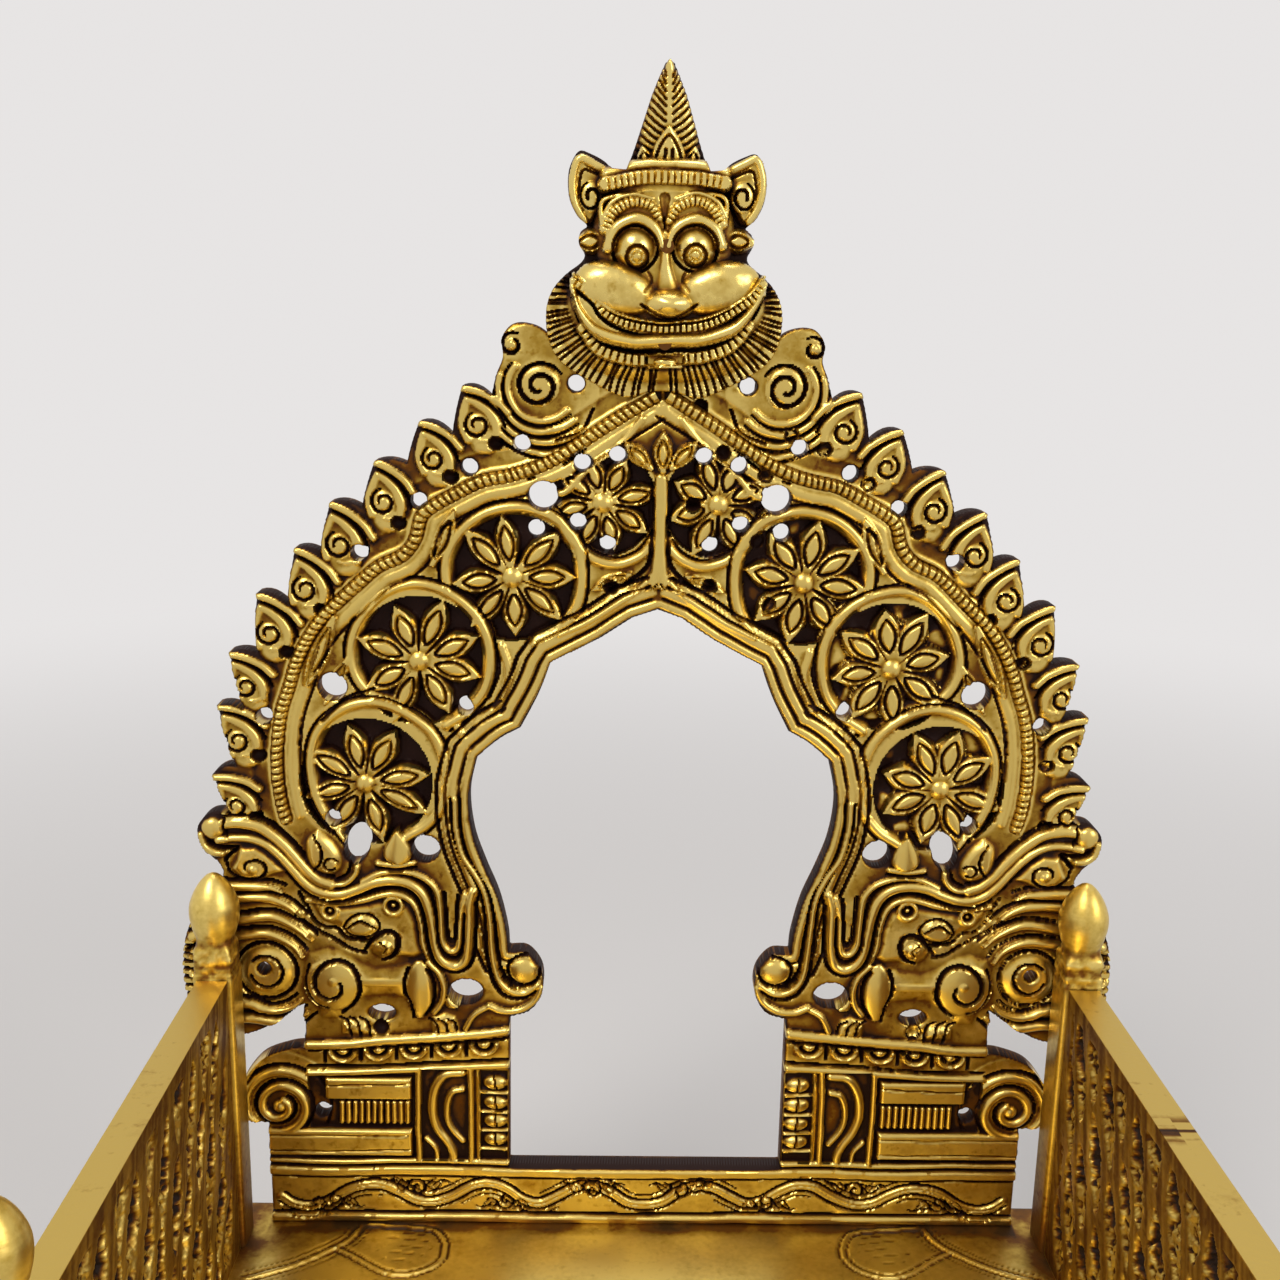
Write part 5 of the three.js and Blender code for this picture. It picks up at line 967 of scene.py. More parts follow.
def draw_bar(field):
    """The bar along the foot, with a wavy stem and a curl in each of its bends."""
    field.tint -= 0.1 * (field.V < BAR_HEIGHT) * (np.abs(field.U) < SLAB_HALF)
    slab = [(-SLAB_HALF, 0), (SLAB_HALF, 0), (SLAB_HALF, BAR_HEIGHT), (-SLAB_HALF, BAR_HEIGHT)]
    field.plain(slab, 1.3, soft=0.3)

    def level(v):
        return [(-SLAB_HALF, v), (SLAB_HALF, v)]

    field.stroke(level(11.6), 2.0, 0.8, base=1.2, profile=flat_top)
    field.stroke(level(0.9), 1.9, 0.7, base=1.2, profile=flat_top)
    field.cut(level(10.4), 0.5, 0.9)
    field.cut(level(2.3), 0.65, 1.3)
    wave = smooth(BAR_WAVE + [(-u, v) for u, v in BAR_WAVE[-2::-1]])
    field.stroke(wave, 2.0, 0.5, base=1.2)
    for side in (-1, 1):
        field.cut(offset(wave, side * 1.15), 0.6, 1.1)
    field.cut(wave, 0.35, 0.3)
    for centre, way in BAR_CURLS:
        v = 4.9 if way > 0 else 7.6
        near = int(np.argmin(np.abs(wave[:, 0] - centre)))
        run = offset(wave, way * 2.3)[max(near - 17, 0):near + 18]
        field.cut(run, 0.5, 0.8, taper=(0.3, 1, 1, 0.3))
        field.cut(spiral((centre, v), 2.1, 0.5, 200 * way, 1.25 * way, 28), 0.6, 1.0)
        for reach, bend in BAR_VEINS:
            root = (centre + reach * 0.42, v - way * 0.3)
            middle = (centre + reach * 0.55 + bend * 0.5, v - way * 1.7)
            end = (centre + reach, v - way * (3.1 - abs(reach) * 0.28))
            field.cut(smooth([root, middle, end], 4), 0.5, 0.8, taper=(0.6, 1, 0.3))
        for turn in (-1, 1):
            tip = (centre + turn * 5.2, v - way * 1.6)
            upper = [(centre + turn * 1.8, v - way * 0.4), (centre + turn * 3.4, v + way * 0.5), tip]
            lower = [(centre + turn * 1.4, v - way * 1.6), (centre + turn * 3.2, v - way * 1.2), tip]
            field.cut(smooth(upper, 4), 0.55, 0.9, taper=(1, 0.4))
            field.cut(smooth(lower, 4), 0.5, 0.8, taper=(1, 0.4))


# Holes that were begun and not drilled through, on the right half and on the left one
BLIND_HOLES = {
    1: [(7.0, 167.0), (11.4, 158.8), (19.4, 155.0), (5.9, 149.2), (18.2, 142.6), (14.9, 171.4),
        (23.8, 162.4), (9.6, 134.2), (20.6, 131.0)],
    -1: [(13.6, 156.9), (8.9, 133.6)],
}


# Holes filed to shape: outward, up, the two radii and the turn in degrees
FILED_HOLES = [(57.0, 82.0, 2.4, 3.9, 15), (53.0, 46.6, 2.7, 1.7, 0), (36.3, 51.3, 3.4, 2.7, 0),
               (75.8, 56.2, 1.3, 1.3, 0)]


def drill_arch(field):
    """All the holes that go through."""
    for side in (-1, 1):
        for u, v in halves(SMALL_HOLE_SHARES):
            field.hole((u * side, v), DRILL)
        for u, v in halves(LARGE_HOLE_SHARES):
            field.hole((u * side, v), LARGE_DRILL)
        for u, v, ru, rv, turn in FILED_HOLES:
            field.hole((u * side, v), ru, rv, turn=turn * side)


def on_plate(u, v, height):
    """Points over the face of the arch's plate."""
    return np.column_stack([u, PLATE_FACE - height, v + SEAT_TOP])


# The arch's field: its reach left, right, down and up, and its step
ARCH_GRID = (-92.7, 92.7, -0.2, 200.4, 0.28)
# Height of the ground between the ornaments, the limits of all heights, and the grain of the casting
GROUND = 0.75
LOWEST = -1.9
HIGHEST = 2.5
CAST_GRAIN = 0.045
# Old dirt in the sunk rings on the right half: how much it fills them, and how much paler it makes them
SILT = 0.75
SILT_PALE = 1.35


def make_arch():
    field = Relief(*ARCH_GRID, wobble=0.4, seed=11)
    field.H += GROUND
    field.tint += 0.14 * value_noise(field.H.shape, 50, 31, 3)
    field.tint += 0.08 * value_noise(field.H.shape, 16, 33, 2)
    for side in (-1, 1):
        half = Side(field, side)
        for name, (u, v, reach) in ROSETTES.items():
            draw_rosette(half, name)
            field.tint += 0.12 * (np.hypot(field.U - u * side, field.V - v) < reach)
        for draw in (draw_hoops, draw_crown, draw_shoulder, draw_teeth, draw_border, draw_rope,
                     draw_scroll_tail, draw_elephant, draw_makara, draw_bracket, draw_pillar):
            draw(half)
        for at in BLIND_HOLES[side]:
            half.pit(at, *BLIND_PIT)
    field.petal((0.3, 155.0), (0.3, 162.8), 4.0, 2.1, 0.2)
    worn = np.clip(value_noise(field.H.shape, 46, 77, 2) * 1.8 + 0.6, 0,
                   1) * np.clip((field.U - 6) / 22, 0, 1)
    sunk = field.H < -0.4
    field.H += SILT * worn * sunk
    field.tint -= SILT_PALE * worn * sunk
    draw_bar(field)
    field.outline(arch_outline())
    field.outline(opening_outline(), keep_inside=False)
    drill_arch(field)
    field.rounded(0.6)
    field.H = np.clip(field.H, LOWEST, HIGHEST) + CAST_GRAIN * value_noise(field.H.shape, 70, 3, 2)

    return relief_mesh("arch_casting", field, on_plate, PLATE_FACE - ARCH_BACK, back_patina=0.12)


# Metal

def ramp(nodes, stops):
    """A colour ramp with these places and colours."""
    node = nodes.new("ShaderNodeValToRGB")
    while len(node.color_ramp.elements) < len(stops):
        node.color_ramp.elements.new(0.5)
    for element, (position, colour) in zip(node.color_ramp.elements, stops):
        element.position = position
        element.color = (*colour, 1)
    return node


# The brown between the middle colour and the darkest one, as shares of the middle colour
BROWN_SHARE = (0.36, 0.21, 0.17)
BUMP_DISTANCE = 0.0002


def brass(name, bright, mid, dark, rough=(0.26, 0.6), grain=0.15, grain_scale=900.0, brushed=0.0,
          brush_axis=(60, 60, 900), patina=True, tone=0.3, specks=0.3):
    """Brass worn bright on its high places, with a brown oxide in its hollows.
    The patina value of the mesh says how deep a place lies; tone is the shade of a flat one."""
    mat = bpy.data.materials.new(name)
    mat.use_nodes = True
    nodes, links = mat.node_tree.nodes, mat.node_tree.links
    shader = nodes["Principled BSDF"]
    shader.inputs["Specular IOR Level"].default_value = 0.2
    coords = nodes.new("ShaderNodeTexCoord").outputs["Object"]

    def noise(scale, detail, place=coords):
        node = nodes.new("ShaderNodeTexNoise")
        node.inputs["Scale"].default_value = scale
        node.inputs["Detail"].default_value = detail
        links.new(place, node.inputs["Vector"])
        return node.outputs["Fac"]

    def spread(value, low, high, start, end):
        node = nodes.new("ShaderNodeMapRange")
        for socket, number in zip(("From Min", "From Max", "To Min", "To Max"), (low, high, start, end)):
            node.inputs[socket].default_value = number
        links.new(value, node.inputs["Value"])
        return node.outputs["Result"]

    def total(first, second):
        node = nodes.new("ShaderNodeMath")
        links.new(first, node.inputs[0])
        links.new(second, node.inputs[1])
        return node.outputs[0]

    def bump(height, strength, normal=None):
        node = nodes.new("ShaderNodeBump")
        node.inputs["Strength"].default_value = strength
        node.inputs["Distance"].default_value = BUMP_DISTANCE
        links.new(height, node.inputs["Height"])
        if normal:
            links.new(normal, node.inputs["Normal"])
        return node.outputs["Normal"]

    grit = noise(grain_scale, 4)
    blotches = spread(noise(60, 6), 0.2, 0.8, tone - 0.17, tone + 0.17)
    shade = total(blotches, spread(grit, 0.2, 0.8, -0.09, 0.09))
    shade = total(shade, spread(noise(520, 3), 0.58, 0.74, 0.0, specks))
    if patina:
        worn = nodes.new("ShaderNodeAttribute")
        worn.attribute_name = "patina"
        shade = total(shade, spread(worn.outputs["Fac"], -1, 2, -0.85, 1.7))
    brown = tuple(value * share for value, share in zip(mid, BROWN_SHARE))
    colours = ramp(nodes, [(0.06, bright), (0.32, mid), (0.58, brown), (0.92, dark)])
    links.new(shade, colours.inputs["Fac"])
    links.new(colours.outputs["Color"], shader.inputs["Base Color"])
    links.new(spread(shade, 0.05, 0.85, *rough), shader.inputs["Roughness"])
    links.new(spread(shade, 0.5, 0.85, 1.0, 0.25), shader.inputs["Metallic"])
    normal = bump(grit, grain)
    if brushed:
        stretch = nodes.new("ShaderNodeMapping")
        stretch.inputs["Scale"].default_value = brush_axis
        links.new(coords, stretch.inputs["Vector"])
        normal = bump(noise(1.0, 5, stretch.outputs["Vector"]), brushed, normal)
    links.new(normal, shader.inputs["Normal"])
    return mat


CAST = brass("cast_brass", (0.69, 0.50, 0.135), (0.405, 0.245, 0.034), (0.015, 0.003, 0.001),
             rough=(0.29, 0.62), tone=0.33, specks=0.24)
MASK = brass("bright_cast_brass", (0.78, 0.59, 0.18), (0.47, 0.30, 0.05), (0.016, 0.004, 0.001), tone=0.22,
             specks=0.2)
SATIN = brass("satin_brass", (0.60, 0.42, 0.10), (0.33, 0.185, 0.03), (0.02, 0.008, 0.003),
              rough=(0.38, 0.62), grain=0.25, brushed=0.12, specks=0.15)
ROUGH = brass("rough_brass", (0.52, 0.34, 0.08), (0.33, 0.19, 0.035), (0.02, 0.009, 0.003),
              rough=(0.42, 0.7), grain=0.6, grain_scale=500, patina=False, tone=0.4)
POLISHED = brass("polished_brass", (0.80, 0.60, 0.17), (0.54, 0.36, 0.068), (0.05, 0.022, 0.006),
                 rough=(0.33, 0.52), grain=0.05, brushed=0.2, brush_axis=(90, 90, 1500), tone=0.11,
                 specks=0.12)
SCREW = brass("screw_brass", (0.70, 0.50, 0.14), (0.44, 0.28, 0.06), (0.02, 0.01, 0.004), rough=(0.28, 0.5),
              grain=0.1)


def finish_piece(obj, material, slot, *nodes):
    """Gives a piece its metal and hides the CAD nodes it stands for; nothing here moves. slot is not used.
    """
    obj.data.materials.clear()
    obj.data.materials.append(material)
    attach(obj, "root")
    if nodes:
        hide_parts(*nodes)


# Guardian mask

SPIRE_RIGHT = [(0, 225.7), (0.8, 225.2), (1.6, 223.4), (3.0, 220.0), (4.4, 215.6), (5.7, 211.6),
               (7.2, 207.4)]
HEAD_RIGHT = [(9.6, 207.6), (11.0, 209.0), (13.4, 210.2), (15.4, 210.6), (16.9, 208.2), (17.3, 205.4),
              (16.9, 202.4), (15.6, 199.8), (13.9, 198.2), (15.0, 197.0), (15.2, 195.0), (14.2, 193.2),
              (15.0, 191.8), (17.4, 190.0), (19.6, 187.6), (20.8, 184.8), (21.0, 181.4), (20.4, 178.0),
              (18.8, 175.2), (16.4, 173.2), (12.8, 171.2), (9.2, 169.4), (6.0, 168.6), (2.6, 169.6),
              (0, 169.8)]
LIP = [(-16.0, 188.6), (-12.9, 186.4), (-11.2, 183.8), (-7.9, 181.9), (-3.2, 180.9), (2.6, 180.9),
       (8.8, 182.2), (14.4, 185.6), (16.8, 188.6)]
LOWER_LIP = [(-16.3, 187.9), (-15.0, 183.9), (-11.9, 180.3), (-6.1, 178.7), (0.3, 178.9), (7.2, 179.5),
             (12.4, 181.5), (15.4, 184.9), (17.0, 188.2)]


def draw_spire(field):
    """The leaf on top of the mask, feathered on both sides."""
    field.leaf((0, 205.5), (0, 225.9), 10.5, 2.6, base=1.2, fullness=0.32, veined=False)
    for side in (-1, 1):
        for k in range(15):
            v = 206.6 + k * 1.22
            reach = np.interp(v, [206, 212, 217, 221, 225], [7.2, 5.4, 3.9, 2.6, 1.2])
            barb = [(side * 0.6, v - 0.8), (side * reach * 0.6, v + 0.7), (side * (reach + 0.4), v + 3.0)]
            field.cut(smooth(barb), 0.46, 0.8)
    field.leaf((0, 206.0), (0, 214.9), 6.0, 2.0, base=3.2, fullness=0.4, veined=False)
    field.cut(smooth([(-2.1, 207), (-2.0, 210.2), (0, 213.2), (2.0, 210.2), (2.1, 207)]), 0.5, 0.9)
    for u in (-0.8, 0.9):
        field.cut([(u, 207.4), (u * 0.7, 210.8)], 0.6, 0.9)
    for side in (-1, 1):
        field.leaf((side * 3.6, 206.4), (side * 4.6, 211.6), 2.6, 1.7, base=2.8)


def draw_ear(field, side, lift):
    """A pointed ear with a rolled rim and a curl in its hollow."""
    c = np.array([side * 13.6, 203.9 + lift])

    def at(points):
        return smooth(np.array(points) * (side, 1) + c)

    outline = at([(-3.6, 3.2), (-1.0, 4.6), (1.6, 6.2), (3.0, 4.6), (3.6, 1.4), (3.0, -2.2), (1.2, -5.2),
                  (-0.8, -6.0), (-2.6, -3.4), (-3.8, 0), (-3.6, 3.2)])
    field.plain(outline[:-1], 4.0, soft=1.4)
    field.stroke(at([(-3.2, 3.2), (-0.8, 4.4), (1.5, 5.3), (2.5, 3.4), (2.8, 0.6), (2.2, -2.4),
                     (0.6, -4.9)]), 1.6, 1.0, base=3.5)
    field.cut(at([(-2.6, 2.2), (-0.6, 3.1), (1.0, 3.4), (1.6, 1.6), (1.7, -0.6), (0.9, -3.2)]), 0.45, 0.7)
    field.dome(c - (side * 0.5, 1.0), 2.2, 2.9, 1.2, base=3.6)
    curl = spiral((0, 0), 2.1, 0.7, 70, -1.25, 40) * (side, 1.2) + c - (side * 0.5, 1.0)
    field.cut(curl, 0.5, 1.3, taper=(0.5, 1, 1.2))


def draw_eye(field, u, v, pupil):
    """A ball in its socket, with a ring round the pupil."""
    field.dome((u, v), 4.5, 4.5, 2.1, base=5.6)
    field.cut(ring((u, v), 3.85), 0.55, 1.2)
    field.dome((u, v), 3.6, 3.6, 3.7, base=5.6)
    field.cut(ring(pupil, 1.85), 0.55, 0.9)
    field.dome(pupil, 1.5, 1.5, 0.9, mode="add")
    field.cut(ring(pupil, 0.85), 0.35, 0.5)


# Lid, brow and the line over the brow, for each eye
BROWS = [
    ([(-10.1, 194.4), (-8.9, 197.6), (-5.6, 199.2), (-2.5, 198.0), (-0.9, 195.0)],
     [(-10.7, 197.4), (-9.3, 200.2), (-6.2, 201.9), (-3.0, 201.4), (-1.4, 199.6)],
     [(-11.0, 199.4), (-9.4, 202.0), (-6.0, 203.2), (-2.6, 202.6)]),
    ([(0.3, 195.0), (1.8, 198.0), (4.9, 199.3), (8.0, 197.9), (9.4, 195.2)],
     [(0.3, 199.2), (2.0, 201.4), (4.8, 202.3), (7.6, 201.2), (9.4, 198.6)],
     [(1.4, 202.6), (4.8, 203.6), (8.4, 202.4), (10.0, 199.8)]),
]


def draw_face(field):
    """Cap, crown band, brows, eyes, cheeks, nose, grin and chin, from the top down."""
    field.dome((-0.4, 196.5), 12.4, 12.8, 4.9, base=2.4, power=6)
    field.dome((0.2, 185.0), 17.6, 10.2, 5.0, base=2.2, power=4)
    # Cap and crown band
    field.stroke(smooth([(-10.6, 206.6), (-5, 208.0), (0, 208.2), (5, 208.1), (9.6, 207.2)]), 3.0, 3.9,
                 base=2.4)
    field.stroke(smooth([(-10.7, 204.9), (-5, 205.9), (0, 206.1), (5, 206.0), (9.6, 205.4)]), 3.1, 3.9,
                 base=4.2, profile=flat_top, ribs=1.12, rib_depth=0.16)
    field.stroke(smooth([(-11.2, 198.0), (-10.9, 202.2), (-5, 203.6), (0, 203.8), (5, 203.7), (9.8, 202.9),
                         (10.0, 198.6)]), 1.0, 1.7, base=5.6)
    for lid, brow, outer in BROWS:
        field.stroke(smooth(lid), 2.3, 1.7, base=6.9)
        field.stroke(smooth(brow), 2.0, 1.2, base=6.9, ribs=0.85, rib_depth=0.5)
        field.stroke(smooth(outer), 0.9, 0.9, base=6.7)
    draw_eye(field, -5.5, 194.3, (-5.1, 192.9))
    draw_eye(field, 4.9, 194.6, (4.9, 193.4))
    field.cut([(-0.5, 202.8), (-0.5, 199.2)], 1.9, 0.75, taper=(1, 0.4))
    field.cut([(-0.5, 199.5), (-0.4, 194.0)], 0.4, 0.7)
    field.dome((-8.6, 187.5), 7.6, 4.6, 4.0, base=5.6, turn=-16, power=2.6)
    field.dome((8.9, 187.9), 7.6, 4.6, 4.0, base=5.6, turn=16, power=2.6)
    field.cut(smooth([(-3.4, 190.8), (-2.4, 189.0), (-3.6, 187.2)]), 0.5, 0.4)
    field.cut(smooth([(3.6, 191.0), (2.8, 189.2), (4.0, 187.4)]), 0.5, 0.4)
    # Nose
    field.stroke([(-0.4, 197.0), (-0.2, 191.5), (0.4, 186.5)], 2.4, 1.5, base=6.6, taper=(0.6, 1, 1.8))
    field.dome((0.6, 185.2), 4.9, 2.7, 4.3, base=6.6, power=1.5)
    field.cut(smooth([(-4.3, 185.0), (-2.0, 183.6), (0.6, 182.7), (3.2, 183.7), (5.4, 185.2)]), 0.5, 0.8)
    # Grin
    field.stroke(smooth((np.array(LIP) + LOWER_LIP) / 2)[2:-2], 3.6, 1.3, base=6.3, taper=(0.7, 1, 1, 0.7),
                 profile=flat_top)
    field.stroke(smooth(np.array(LIP) + (0, 1.3)), 0.8, 2.4, base=6.4)
    field.stroke(smooth(np.array(LIP) + (0, 0.1)), 1.7, 2.0, base=6.5, profile=flat_top, ribs=1.0,
                 rib_depth=0.4)
    field.cut(smooth(np.array(LIP) - (0, 1.2)), 0.55, 1.5)
    field.stroke(smooth(LOWER_LIP), 2.9, 3.1, base=5.6, taper=(0.4, 1, 1, 1, 0.4))
    field.cut(smooth(np.array(LOWER_LIP) - (0, 1.75)), 0.7, 1.6)
    field.stroke(smooth(np.array(LOWER_LIP[1:-1]) * (0.95, 1) - (0, 3.2)), 2.6, 1.8, base=4.3,
                 profile=flat_top, ribs=1.25, rib_depth=0.45)
    field.plain([(-3.2, 173.6), (3.6, 173.8), (3.9, 177.0), (-3.4, 176.8)], 6.7, soft=0.5)
    field.cut([(-2.3, 175.4), (2.8, 175.6)], 2.0, 1.3, profile=flat_top)
    field.dome((0.3, 175.2), 2.0, 0.75, 1.3, mode="add")


def draw_beard(field):
    """Rays cut all round the jaw."""
    gen = np.random.default_rng(5)
    for side in (-1, 1):
        for k in range(30):
            t = k / 29
            angle = math.radians(26 - t * 112)
            start = np.array([side * (15.0 * math.cos(angle)), 184.5 + 9.5 * math.sin(angle)])
            end = np.array([side * 22.6 * math.cos(angle), 184.0 + 17.5 * math.sin(angle) - 0.6])
            bend = (start + end) / 2 + (side * gen.uniform(-0.2, 0.5), gen.uniform(-0.3, 0.3))
            field.cut(smooth([start, bend, end + gen.uniform(-0.35, 0.35, 2)], 4), 0.5, 0.9)


MASK_GRID = (-21.4, 21.4, 168.0, 226.2, 0.19)
MASK_GROUND = 2.0
MASK_LOWEST = 0.8
MASK_HIGHEST = 10.9
MASK_GRAIN = 0.03


def make_mask():
    field = Relief(*MASK_GRID, wobble=0.2, seed=23)
    field.H += MASK_GROUND
    draw_spire(field)
    collar = smooth([(14.8, 191.8), (18.6, 187.6), (19.8, 183), (19.0, 178.4), (15.6, 174.4), (10, 171.6),
                     (4, 170.6), (-4, 170.6), (-10, 171.6), (-15.6, 174.4), (-19.0, 178.4), (-19.8, 183),
                     (-18.6, 187.6), (-14.8, 191.8)])
    field.plain(collar, 3.8, soft=3.0)
    draw_beard(field)
    for side, lift, stud in ((-1, 0.0, (-13.3, 195.4)), (1, 0.4, (12.5, 195.9))):
        field.plain([(side * 9.0, 199.0), (side * 14.6, 197.6), (side * 15.6, 193.0), (side * 14.6, 190.6),
                     (side * 9.0, 190.0)], 3.4, soft=1.2)
        draw_ear(field, side, lift)
        field.dome(stud, 2.8, 2.4, 2.4, base=2.6)
        foot, tip = (stud[0] + side * 2.7, stud[1] - 0.2), (stud[0] - side * 3.1, stud[1] + 0.2)
        field.petal(foot, tip, 4.6, 2.2, 3.4)
    draw_face(field)
    right = np.vstack([SPIRE_RIGHT, smooth(HEAD_RIGHT, 4)])
    field.outline(np.vstack([right, mirrored(right[1:-1])[::-1]]))
    field.rounded(0.5)
    grain = MASK_GRAIN * value_noise(field.H.shape, 60, 9, 2)
    field.H = np.clip(field.H, MASK_LOWEST, MASK_HIGHEST) + grain
    return relief_mesh("guardian_mask_casting", field, on_plate, 0.0, wall_patina=0.25, fine=0.5, broad=1.6,
                       gain=0.5)


# Turned and swept forms

def swept(name, levels, patina):
    """A closed skin over rings of points, one ring above the other, in millimetres."""
    levels = np.asarray(levels, float)
    count, seg = levels.shape[:2]
    index = np.arange(count * seg).reshape(count, seg)
    turn = np.roll(index, -1, axis=1)
    quads = np.column_stack([a.ravel() for a in (index[:-1], turn[:-1], turn[1:], index[1:])])
    shade = np.broadcast_to(np.reshape(patina, (-1, 1)) if np.ndim(patina) == 1 else patina, (count, seg))
    return new_mesh(name, levels.reshape(-1, 3) * MM, [quads, index[:1, ::-1], index[-1:]], shade.ravel())


def round_angles(count):
    return np.linspace(0, 2 * math.pi, count, endpoint=False)


def turned(name, profile, centre, patina):
    """A lathe form: profile is (radius, height) from the low end to the high one."""
    angle = round_angles(64)
    rings = [np.column_stack([r * np.cos(angle), r * np.sin(angle), np.full(len(angle), z)]) + centre
             for r, z in profile]
    return swept(name, rings, patina)


# Corner posts

POST_X = 83.5
POST_REAR_Y = 50.2
POST_FRONT_Y = -51.8
POST_HEIGHT = 78.4
# Height over the seat, half width, squareness
POST_SECTIONS = [(0, 3.8, 12), (20, 3.8, 12), (40, 3.8, 12), (57.2, 3.8, 12), (58.2, 3.8, 12),
                 (58.9, 3.6, 12), (60.2, 3.72, 12), (62.4, 3.72, 10), (63.6, 3.6, 6), (64.6, 3.38, 3.4),
                 (65.6, 3.55, 2.4), (66.6, 3.95, 2.1), (67.8, 4.3, 2), (69.0, 4.56, 2), (70.4, 4.7, 2),
                 (72.0, 4.6, 2), (73.4, 4.2, 2), (74.8, 3.6, 2), (76.0, 2.9, 2), (77.0, 2.15, 2),
                 (77.8, 1.35, 2), (78.2, 0.75, 2), (POST_HEIGHT, 0.05, 2)]
# Heights, and how rough or how brown the metal is there
POST_ROUGH = ([0, 56, 58.5, 62, 65, 68, 70], [0, 0.05, 0.3, 0.3, 0.14, 0.05, 0])
POST_PATINA = ([0, 3, 10, 54, 58.8, 59.6, 63.2, 64.7, 66.2, 68.4],
               [0.7, 0.3, 0.18, 0.14, 0.4, 0.14, 0.14, 0.55, 0.14, 0.02])
POST_SEGMENTS = 72
THINNEST = 0.02


def make_post(name, x, y, seed):
    """A square shaft with a neck filed by hand and a turned bud on top."""
    sections = np.array(POST_SECTIONS, float)
    z = np.concatenate([[0, 30, 50], np.arange(56, POST_HEIGHT + 0.01, 0.35), [POST_HEIGHT]])
    half = np.interp(z, sections[:, 0], sections[:, 1])
    half[3:] = np.interp(z[3:], *smooth(sections[3:, :2], 8).T)
    power = np.interp(z, sections[:, 0], sections[:, 2])
    angle = round_angles(POST_SEGMENTS) + math.pi / 4
    cosine, sine = np.cos(angle), np.sin(angle)
    noise = value_noise((len(z), POST_SEGMENTS), 26, seed, 3)
    noise = noise - np.linspace(0, 1, POST_SEGMENTS)[None, :] * (noise[:, -1:] - noise[:, :1])
    rough = np.interp(z, *POST_ROUGH)
    levels, shade = [], []
    for i, level in enumerate(z):
        square = (np.abs(cosine) ** power[i] + np.abs(sine) ** power[i]) ** (1 / power[i])
        r = np.maximum(max(half[i], THINNEST) / square + rough[i] * noise[i], THINNEST)
        height = np.full(POST_SEGMENTS, SEAT_TOP + level)
        levels.append(np.column_stack([x + r * cosine, y + r * sine, height]))
        shade.append(np.interp(level, *POST_PATINA) - noise[i] * rough[i] * 1.5)
    return swept(name, levels, np.array(shade))


# Side panels

PANEL_HALF = 46.9
PANEL_Y = -0.8
PANEL_HEIGHT = 58.0
# Half of a panel's thickness
PANEL_SKIN = 2.9
# Pits: pitch of their columns and rows, a column's drift over the panel's height, and the lean
PIT_COLUMN = 7.7
PIT_ROW = 18.4
PIT_DRIFT = 18
PIT_LEAN = 0.3
# Brown streaks on the ribs
LANES = 150
# Rows of the grid over a panel's height, on the face seen in the photograph and on the outer one
INNER_ROWS = 193
OUTER_ROWS = 145
# Rough spot left by the casting on top of the right panel
SCAR_Y = -2.1


